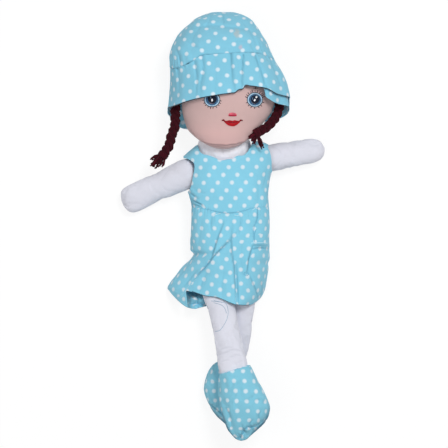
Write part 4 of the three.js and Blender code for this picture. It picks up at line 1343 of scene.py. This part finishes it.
def skirt_grid(rows, columns):
    """The whole skirt: over the front from the left side to the right, and back underneath."""
    levels = np.linspace(0, 1, rows)[:, None]
    angles = np.linspace(math.pi, -math.pi, columns + 1)[None, :]
    cos, sin = np.cos(angles), np.sin(angles)
    front = angles >= 0
    x = 9.5 + 45 * cos + 0 * levels
    y = 18 - 100 * levels + 0 * angles
    for _ in range(6):
        left, right = np.moveaxis(table_at(SKIRT_SIDES, y), -1, 0)
        top, peak, left_power, right_power, seam = np.moveaxis(table_at(SKIRT_TOPS, y), -1, 0)
        power = np.where(front, np.where(cos < 0, left_power, right_power), SKIRT_BACK_POWER)
        reach = np.where(cos < 0, peak - left, right - peak)
        x = 0.5 * x + 0.5 * (peak + power_of(cos + 0 * left, 2 / power) * reach)
        hem = np.where(front, table_at(FRONT_HEM, x)[..., 0], table_at(BACK_HEM, x)[..., 0])
        start = np.where(front, waist_y(x), SKIRT_WAIST)
        y = start + (hem - start) * levels
    depth = np.where(front, top - seam, seam - SKIRT_BACK_LEVEL)
    z = seam + depth * power_of(sin + 0 * left, 2 / power)
    return np.stack([x, y, z], axis=-1), levels


def turned_panel(points, flat, uv):
    """Turns the print on the panel that lies folded over between two of the skirt's folds."""
    panel = flat[..., 1] < -12
    for number, sign in zip(TURNED_PANEL["lines"], (-1, 1)):
        panel &= line_distance(flat, smooth_line(SKIRT_FOLDS[number]["line"], 24, by=2))[0] * sign > 0
    turn = math.radians(TURNED_PANEL["turn"])
    spin = np.array([[math.cos(turn), math.sin(turn)], [-math.sin(turn), math.cos(turn)]])
    return panel[..., None], dot_under(points, uv, TURNED_PANEL["dot"]) @ spin


def opening_field(flat, under):
    """Above zero where the skirt has cloth: its front hem stands open at the left."""
    cut = table_at(SKIRT_OPENING, flat[..., 0])[..., 0]
    edge = OPENING_EDGE - 0.1 * (flat[..., 1] + 76)
    field = np.maximum(edge - flat[..., 0], flat[..., 1] - cut)
    return np.where(under | (flat[..., 0] > 2), 10.0, field)


def add_hem_shadow_thread(look, front_hem):
    """A dark thread along the edge of the opening and on along the rest of the front hem, partly an overlock
    thread and partly painted shadow of the hem's edge.
    """
    right_hem = [tuple(p) for p in seen(front_hem) if 4 < p[0] < 44]
    hem = smooth_line(SKIRT_OPENING[:-2] + right_hem[::8], 260, by=2) + (0, 0.35)
    lifted = [place for place in on_cloth(look, hem, 0.1) if place[2] > 40]
    sewn("skirt_hem_shadow_thread", [smooth_line(lifted, 220)], [0.32], [HEM_SHADOW_THREAD], "dotted_cotton")


def add_skirt(rows=116, columns=320):
    """The skirt's one tube of cloth, with its folds, gathers and crumpled back hem."""
    half = columns // 2
    points, levels = skirt_grid(rows, columns)
    facing = ease(points[..., 2], 6, 26)
    uneven = ripple(points, 26, 1.6, 9.4) + ripple(points, 9, 0.5, 3.9)
    side = np.arange(columns + 1)[None, :]
    gathers = seam_gathers(side * 0.0262, 2.0) * 0.5 * bell(levels, 0.1)
    lift = (uneven * ease(levels, 0, 0.1) * 0.7 + gathers) * ease(points[..., 2], 0.7, 10)
    points = points + normals_of(points) * lift[..., None]
    points, depth = crease(points, SKIRT_FOLDS + [WAIST_SEAM], facing)
    x, y, _ = np.moveaxis(points, -1, 0)
    crumple = ease(-x, 10, 24) * ease(-y, 76, 86) * (1 - ease(-x, 34, 44)) * (side > half)
    folds = np.abs(ripple(points, 7, 9, 5.5)) + np.abs(ripple(points, 15, 12, 8.1))
    points[..., 2] += crumple * (20 + 1.1 * folds)
    points[:, -1] = points[:, 0]
    points[..., 2] = np.maximum(points[..., 2], FLOOR_GAP)
    uv = dot_under(points, cloth_uv(points, half // 2), (-17, 4.8))
    flat = seen(points)
    panel, turned = turned_panel(points, flat, uv)
    uv = np.where(panel & (side <= half)[..., None], turned, uv)
    field = opening_field(flat, side > half)
    obj = cloth_mesh("skirt_cloth", *trimmed(points, with_crease_shade(uv, depth), field))
    face_out(obj)
    thicken(obj, DRESS_WALL)
    declare(obj, "skirt", None, "dotted_cotton", "skirt_front", "skirt_back")
    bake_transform(obj)
    add_hem_shadow_thread(surface_of(obj), points[-1, :half])
    return obj


# Stray threads, and pale threads as painted highlights, (x, y) as seen
WAIST_STITCH_HIGHLIGHTS = [  # x, y of pale threads by the waist: painted highlights on the puckers and a ridge, and thread ends
    [(-9.6, 12.4), (-6, 12.8), (-1, 14.2)],
    [(15, 12), (19, 11.6), (23, 12.6)],
    [(2, 14.6), (6, 14.8), (9, 14.4)],
    [(34.5, -20.4), (44, -20.0), (53, -20.6)],
    [(-33, 34), (-31, 31), (-29, 28.6)],
    [(36, 18), (40, 21), (41.6, 24)],
]
SKIRT_THREADS = [  # x, y of threads that lie loose on the skirt
    [(41.4, 20.6), (41.9, 14), (41.2, 8), (41, 2)],
    [(30.4, -54), (31.2, -56.6), (29, -58.4), (26.4, -57.2), (26.6, -54.6), (29, -53.8)],
    [(40, -4), (38.4, -10), (38.2, -19)],
]
LEG_THREADS = [
    [(-9, -86.8), (-2, -88.6), (5.3, -91.1), (7.7, -100.4), (6.4, -108), (4.2, -113.2), (-1.6, -121.3),
     (-7.5, -123.1)],
    [(-12, -87.6), (-5, -88.4), (3, -89.6)],
    [(-9, -89.6), (-1, -92), (3.4, -95.6), (6, -102)],
]
PALE_HIGHLIGHT_THREAD = (190, 230, 243)
BLUE_THREAD = (100, 172, 202)
GREY_THREAD = (150, 176, 196)


def add_stray_threads(skirt, leg):
    look = surface_of(skirt)
    lines = [on_cloth(look, smooth_line(line, 24, by=2), 0.2) for line in WAIST_STITCH_HIGHLIGHTS]
    lines += [on_cloth(look, smooth_line(line, 40, by=2), 0.2) for line in SKIRT_THREADS]
    # pale threads as painted highlights by the waist, blue threads loose on the skirt
    tints = [PALE_HIGHLIGHT_THREAD] * len(WAIST_STITCH_HIGHLIGHTS) + [BLUE_THREAD] * len(SKIRT_THREADS)
    girths = [0.4] * len(WAIST_STITCH_HIGHLIGHTS) + [0.25] * len(SKIRT_THREADS)
    sewn("dress_threads_and_highlights", lines, girths, tints, "dotted_cotton")
    look = surface_of(leg)
    for number, line in enumerate(LEG_THREADS):
        lifted = on_cloth(look, smooth_line(line, 160, by=2), 0.1)
        sewn(f"loose_thread_{number + 1}", [lifted], [0.26], [GREY_THREAD], "white_cotton", "right_leg")


# Limbs, made along +Y from their pivot
RIGHT_ARM = [  # along, half width, half depth
    (-16.2, 0.05, 0.05), (-16, 8, 4.6), (-14.4, 13.6, 8.8), (-10.5, 16, 11), (-2, 16.4, 12.2),
    (8, 16.2, 12.7), (20, 15.8, 12.8), (36, 15.3, 12.6), (52, 15.2, 12.6), (64, 15.8, 12.6),
    (71, 15.8, 11.8), (76, 14.6, 10), (79.4, 11.6, 7), (81, 6.4, 3.6), (81.4, 0.05, 0.05),
]
LEFT_ARM = [
    (-12.3, 0.05, 0.05), (-12, 5, 4), (-10, 10, 7.8), (-6, 12.8, 9.8), (0, 14.4, 11), (8, 15, 11.8),
    (20, 15, 12.8), (36, 14.7, 13), (52, 14.2, 12.8), (64, 13.9, 12.4), (71, 13.1, 11.6), (76, 11.4, 9.8),
    (79.4, 8.6, 7), (81, 4.8, 3.8), (81.4, 0.05, 0.05),
]
ARM_FOLDS = [
    fold(1.8, 0.35, (-13, 16), (-8, 24), (0, 27), dark=0.12),
    fold(2.0, 0.35, (13, 12), (9, 20), (4, 26), dark=0.1),
    fold(1.4, 0.3, (-9, 62), (-6, 68), (-5, 75), dark=0.12),
    fold(2.8, 0.25, (-10, 34), (-2, 39), (6, 40), dark=0.03),
]
RIGHT_LEG = [  # along, half width, half depth, lean sideways
    (-14.6, 0.05, 0.05, 0), (-14.2, 4.4, 4.4, 0), (-11.6, 9.6, 9, 0), (-6, 13.6, 11, 0), (2, 15.8, 12, 0),
    (14, 17, 12.6, 0), (32, 17.2, 12.7, 0), (44, 16, 12.6, -1), (56, 14.8, 12.4, -1.6),
    (68, 14.2, 12.2, -1.4), (84, 14.2, 12, -0.8), (98, 14.8, 11.8, -0.8), (110, 16, 11.6, -0.6),
    (120, 16.8, 11.2, 0), (128, 16.4, 10.8, 0), (133, 14.4, 9.4, 0), (135, 8, 5.5, 0),
    (135.4, 0.05, 0.05, 0),
]
LEFT_LEG = [
    (-14.6, 0.05, 0.05, 0), (-14.2, 4.4, 4.4, 0), (-11.6, 9.6, 9, 0), (-6, 13.6, 11, 0), (2, 15.8, 12, 0),
    (14, 17, 12.6, 0), (32, 17, 12.7, 0), (50, 16.8, 12.6, 0), (66, 16.4, 12.3, -0.6), (84, 16, 12, -1.4),
    (98, 16, 11.8, -2), (110, 16.2, 11.6, -2.4), (120, 15.6, 11.2, -2), (128, 13.8, 10.8, -1),
    (133, 11.4, 9.4, 0), (135, 7, 5.5, 0), (135.4, 0.05, 0.05, 0),
]
ANKLE_FOLDS = [
    fold(0.9, 0.7, (-14, 112), (-4, 109), (8, 110.5), (14, 109)),
    fold(0.8, 0.6, (-13, 117), (-6, 115.6), (2, 117)),
    fold(1.0, 0.5, (14, 106), (6, 105), (-4, 106.4)),
    fold(0.9, 0.5, (2, 120), (8, 118.6), (14, 119.6)),
    fold(0.9, 0.5, (-12, 122), (-7, 124), (-2, 123)),
    fold(4, 0.5, (0, 60), (3, 74), (1, 88)),
]
LIMBS = {  # profile, folds, rows, fill, then as in the frame's source: pivot, turn and rise, and a seed
    "right_arm": (RIGHT_ARM, ARM_FOLDS, 96, 0.9, (-42.951, 59.003, 28), 204.2, -12, 1.9),
    "left_arm": (LEFT_ARM, ARM_FOLDS, 96, 0.9, (41.829, 76.2, 28), 9.8, -10, 4.7),
    "right_leg": (RIGHT_LEG, ANKLE_FOLDS, 140, 0.85, (-13, -44, 25), -77.4, 15.4, 7.9),
    "left_leg": (LEFT_LEG, ANKLE_FOLDS, 140, 0.85, (31, -34, 25), -99.8, -4.4, 9.3),
}


def limb_grid(profile, rows, columns, power=2.1):
    chain = smooth_line(profile, rows, by=3)[..., None]
    angles = np.linspace(-math.pi / 2, 1.5 * math.pi, columns + 1)
    lean = chain[:, 3] if chain.shape[1] > 3 else 0
    x = chain[:, 1] * power_of(np.cos(angles), 2 / power) + lean
    z = chain[:, 2] * power_of(np.sin(angles), 2 / power)
    return np.stack([x, chain[:, 0] + 0 * x, z], axis=-1)


def end_taper(rows):
    """Nothing at both poles of a padded piece, so that they stay closed."""
    return np.sin(np.pi * np.linspace(0, 1, rows))[:, None] ** 0.4


def add_limb(name):
    profile, folds, rows, fill, pivot, turn, rise, seed = LIMBS[name]
    points = limb_grid(profile, rows, 84)
    uneven = ripple(points, 17, 0.8, seed) + ripple(points, 6, 0.175, seed + 3)
    points = points + normals_of(points) * (uneven * end_taper(rows))[..., None]
    points, depth = crease(points, folds, ease(points[..., 2], 0, 5))
    points[:, -1] = points[:, 0]
    obj = outwards(cloth_mesh(f"{name}_cloth", points, with_crease_shade(cloth_uv(points), depth)))
    puff(obj, cap=1.6, slack=0.03, frames=14)
    place = Matrix.Translation(Vector(pivot) * MM)
    place @= Matrix.Rotation(math.radians(turn - 90), 4, "Z") @ Matrix.Rotation(math.radians(rise), 4, "X")
    obj.data.transform(place)
    declare(obj, "white", name, "white_cotton", f"{name}_skin", f"{name}_stuffing")
    return obj


# Boots: y, left, right, back, front, how the row slants
RIGHT_BOOT = [
    (-163.0, 15, 16, 58.8, 59.2, 0.2), (-164.6, 5, 26, 51, 67.6, 0.26), (-166.4, -0.6, 32, 47.4, 71, 0.28),
    (-169, -2.0, 34, 46, 72.6, 0.28), (-175, -2.4, 37, 44.6, 74.2, 0.24), (-182, -3.0, 41, 43, 75.8, 0.18),
    (-191, -3.2, 46.8, 41.4, 77.4, 0.1), (-200, -2.2, 52.4, 40.3, 78.4, 0), (-209, 0, 56, 40, 78.4, 0),
    (-217, 1.8, 54.6, 40.6, 77.4, 0), (-225, 4.0, 50.4, 42, 75.4, 0), (-232, 6.4, 44.4, 44.2, 72.6, 0),
    (-238, 9.2, 38, 47.2, 69.2, 0), (-243, 13.2, 32.2, 51, 65.6, 0), (-246.2, 17.6, 28, 55, 62, 0),
    (-247.6, 22.6, 22.8, 58.4, 58.6, 0),
]
LEFT_BOOT = [
    (-156.6, 8, 9, 15, 15.4, 0), (-158, -1, 19, 7, 25, 0), (-160, -6.6, 23.4, 4, 28.6, 0),
    (-164, -11.4, 25.4, 2.4, 31, 0), (-171, -15.6, 28, 1.2, 33.6, 0), (-180, -19.2, 30.6, 0.7, 35.8, 0),
    (-189, -20.8, 32.4, 0.6, 37, 0), (-199, -19.8, 33.4, 0.6, 37.2, 0), (-208, -16.4, 33, 0.7, 36.4, 0),
    (-216, -11.2, 31, 0.9, 34.6, 0), (-223, -4.4, 28, 1.8, 31.8, 0), (-229, 2, 24.4, 4, 28, 0),
    (-233.4, 7.4, 20.4, 8, 23.6, 0), (-235.2, 13.4, 13.6, 15, 15.4, 0),
]
RIGHT_SOLE = [
    (13.6, -249), (17, -247.6), (21.5, -245.4), (26, -238.4), (30, -234.6), (36, -234.4), (43, -231.2),
    (49, -226.4), (54, -219.5),
]
LEFT_SOLE = [
    (-18, -206), (-12.4, -209.2), (-5.4, -214.6), (1.6, -220.2), (8, -226), (12, -232),
]
BOOT_FOLDS = {
    "right": [
        fold(1.0, 1.7, *RIGHT_SOLE, pucker=0.9, pitch=5.6, reach=4.2, open=1),
        fold(1.2, 1.2, (24, -231), (26, -238), (29, -241), lip=0.8, spread=4),
        fold(1.3, 1.2, (36, -226), (33, -231), (35, -236)),
        fold(3.0, 0.7, (4, -206), (9, -222), (14, -236)),
        fold(1.6, 0.9, (47, -214), (44, -222), (46, -230)),
    ],
    "left": [
        fold(1.0, 1.7, *LEFT_SOLE, pucker=0.7, pitch=5.2, reach=4.0, open=1),
        fold(2.6, 0.7, (-17, -190), (-14, -200), (-9, -208)),
    ],
}


def add_boot(side, rings, seed, dot):
    points, _, chain = ring_grid(rings, 110, 120, 2.2)
    points[..., 1] += chain[:, 5] * (points[..., 0] - (chain[:, 1] + chain[:, 2]) / 2)
    normals = normals_of(points)
    uneven = ripple(points, 18, 0.9, seed) + ripple(points, 7, 0.25, seed + 2)
    lift = uneven * end_taper(len(points)) * ease(points[..., 2], 0.5, 6)
    points = points - normals * lift[..., None]
    middle = (points[..., 2].max() + points[..., 2].min()) / 2
    points, depth = crease(points, BOOT_FOLDS[side], ease(points[..., 2], middle, middle + 6))
    points[:, -1] = points[:, 0]
    # painted shade on the boot's sides, where they turn away from the camera and lamps, more towards the
    # foot's end
    turned = 1 - ease(np.abs(normals[..., 2]), 0.15, 0.5)
    depth = np.maximum(depth, 0.9 * turned * ease(-points[..., 1], 196, 232))
    uv = with_crease_shade(dot_under(points, cloth_uv(points), dot), depth)
    obj = outwards(cloth_mesh(f"{side}_boot_cloth", points, uv, ends=True))
    puff(obj, cap=1.2, slack=0.03, frames=14)
    nodes = [f"{side}_boot_{part}" for part in ("upper", "sole", "stuffing")]
    declare(obj, "boot", f"{side}_leg", "dotted_cotton", *nodes)


# Braids
YARN = (62, 14, 24)
YARN_GIRTH = 0.95
PLAIT_SIZES = {"right": {"Swing": 0.0033, "Bundle": 0.00175}, "left": {"Swing": 0.0031, "Bundle": 0.00165}}
BRAID_TAILS = {  # ways that the loose ends go, as seen from their tie, and how many ends go each way
    "right": [((-0.62, -0.78), 20, 30), ((-0.82, -0.57), 16, 14), ((-0.42, -0.9), 15, 14)],
    "left": [((-0.8, -0.6), 13, 20), ((-0.35, -0.94), 13, 12), ((0.34, -0.94), 21, 9)],
}
TIE_RADIUS = 4.5
TIE_POINTS = 150
TIE_TURN = 24  # points to one turn
TASSEL_RADIUS = 3.2
TASSEL_POINTS = 14


def add_tie(name, end, way, across, over):
    """Two yarns wound round the end of a braid."""
    wraps, tints = [], []
    for turn in range(2):
        line = []
        for i in range(TIE_POINTS):
            angle = 2 * math.pi * i / TIE_TURN + turn * math.pi
            swell = 0.7 * math.sin(i / TIE_POINTS * math.pi) + 0.4 * math.sin(5.3 * i / TIE_TURN)
            radius = TIE_RADIUS + swell
            centre = end + way * (0.8 + 5.8 * i / TIE_POINTS)
            line.append(centre + radius * (across * math.cos(angle) + over * math.sin(angle) * 0.9))
        wraps.append(line)
        tints.append(varied(YARN, 0.15))
    return threads(f"{name}_tie_yarn", wraps, [YARN_GIRTH] * 2, tints, "yarn")


def add_tassel(name, tails, end, way, across, over):
    """The yarn's loose ends, fanned out and a little curled."""
    ends, girths, tints = [], [], []
    shares = np.linspace(0, 1, TASSEL_POINTS)
    for (toward_x, toward_y), reach, count in tails:
        toward = np.array([toward_x, toward_y, -0.12])
        for _ in range(count):
            angle = 2 * math.pi * CHANCE.random()
            start = math.sqrt(CHANCE.random()) * TASSEL_RADIUS
            long = reach * CHANCE.uniform(0.7, 1.05)
            ray = across * math.cos(angle) + over * math.sin(angle) * 0.8
            curl = np.array([CHANCE.uniform(-1, 1), CHANCE.uniform(-1, 1), CHANCE.uniform(-0.5, 0.5)])
            line = []
            for t in shares:
                place = end + way * (2 + 3 * t * (1 - t)) + ray * (start + 1.6 * t) + toward * long * t**1.2
                line.append(place + curl * (1.3 * math.sin(3.4 * t * t) + 0.4 * math.sin(9 * t)))
            ends.append(line)
            girths.append([YARN_GIRTH * (1 - 0.25 * t) for t in shares])
            tints.append(varied(YARN, 0.3))
    return threads(f"{name}_tassel_yarn", ends, girths, tints, "yarn")


def add_braid(side):
    route = smooth_line(BRAIDS[side], 260)
    name = f"{side}_braid"
    line = line_mesh(f"{name}_plait", [route], [0.9], [YARN])
    plait = grown(line, PLAIT, FINISH["yarn"], PLAIT_SIZES[side])
    way = route[-1] - route[-2]
    way = way / np.linalg.norm(way)
    across = np.cross(way, (0, 0, 1))
    across = across / np.linalg.norm(across)
    axes = (route[-1], way, across, np.cross(across, way))
    tie = add_tie(name, *axes)
    tassel = add_tassel(name, BRAID_TAILS[side], *axes)
    for obj, node in ((plait, name), (tie, f"{name}_tie"), (tassel, f"{name}_tassel")):
        declare(obj, None, "head", "maroon_yarn", node)
    path = (smooth_line(BRAIDS[side], 30) * MM).tolist()


# Floor and light
FLOOR_LEVEL = -0.0004
FLOOR_WHITE = 1.03
LAMPS = (((0.45, 0.6, 1.75), 0.5, 19.0), ((-0.6, -0.3, 1.6), 1.0, 7.0))  # place, size and power


def add_floor():
    bpy.ops.mesh.primitive_plane_add(size=6, location=(0, 0, FLOOR_LEVEL))
    floor = bpy.context.object
    floor.name = "floor"
    material = bpy.data.materials.new("paper")
    material.use_nodes = True
    tree = material.node_tree
    shader = tree.nodes["Principled BSDF"]
    shader.inputs["Base Color"].default_value = (0.9, 0.9, 0.9, 1)
    shader.inputs["Roughness"].default_value = 1.0
    camera, _, _, glossy, _, _, through = add_node(tree, "ShaderNodeLightPath")[:7]
    sockets = {"Color": (1, 1, 1, 1), "Strength": FLOOR_WHITE}
    white = add_node(tree, "ShaderNodeEmission", None, sockets)[0]
    share = camera.most(glossy).most(through) * 0.85
    sockets = {0: share, 1: Wire(tree, shader.outputs[0]), 2: white}
    mixed = add_node(tree, "ShaderNodeMixShader", None, sockets)[0]
    join(tree, mixed, tree.nodes["Material Output"].inputs["Surface"])
    floor.data.materials.append(material)


def add_lights():
    world = bpy.data.worlds.new("studio")
    world.use_nodes = True
    tree = world.node_tree
    background = tree.nodes["Background"]
    background.inputs["Color"].default_value = (1, 1, 1, 1)
    camera = add_node(tree, "ShaderNodeLightPath")[0]
    join(tree, 0.33 + 0.67 * camera, background.inputs["Strength"])
    bpy.context.scene.world = world
    for place, size, power in LAMPS:
        data = bpy.data.lights.new("lamp", "AREA")
        data.size = size
        data.energy = power
        lamp = bpy.data.objects.new("lamp", data)
        lamp.location = place
        aim = Vector((0, 0, 0.03)) - Vector(place)
        lamp.rotation_euler = aim.to_track_quat("-Z", "Y").to_euler()
        bpy.context.collection.objects.link(lamp)


add_camera()
for side in BRAIDS:
    add_braid(side)
face = surface_of(add_head())
for side in EYES:
    add_eye(side, face)
add_nose(face)
add_mouth(face)
add_hat()
add_torso()
add_neck()
add_bodice(front=True)
add_bodice(front=False)
limbs = {name: add_limb(name) for name in LIMBS}
skirt = add_skirt()
add_boot("right", RIGHT_BOOT, 2.7, (28, -192.6))
add_boot("left", LEFT_BOOT, 6.1, (-8, -203.2))
add_stray_threads(skirt, limbs["right_leg"])
for node in ("right_shoulder_seam", "left_shoulder_seam", "hip_seam_strip"):
    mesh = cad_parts[node].data
    mesh.materials.clear()
    mesh.materials.append(FINISH["white"])
add_floor()
add_lights()
bpy.context.scene.view_settings.view_transform = "Standard"
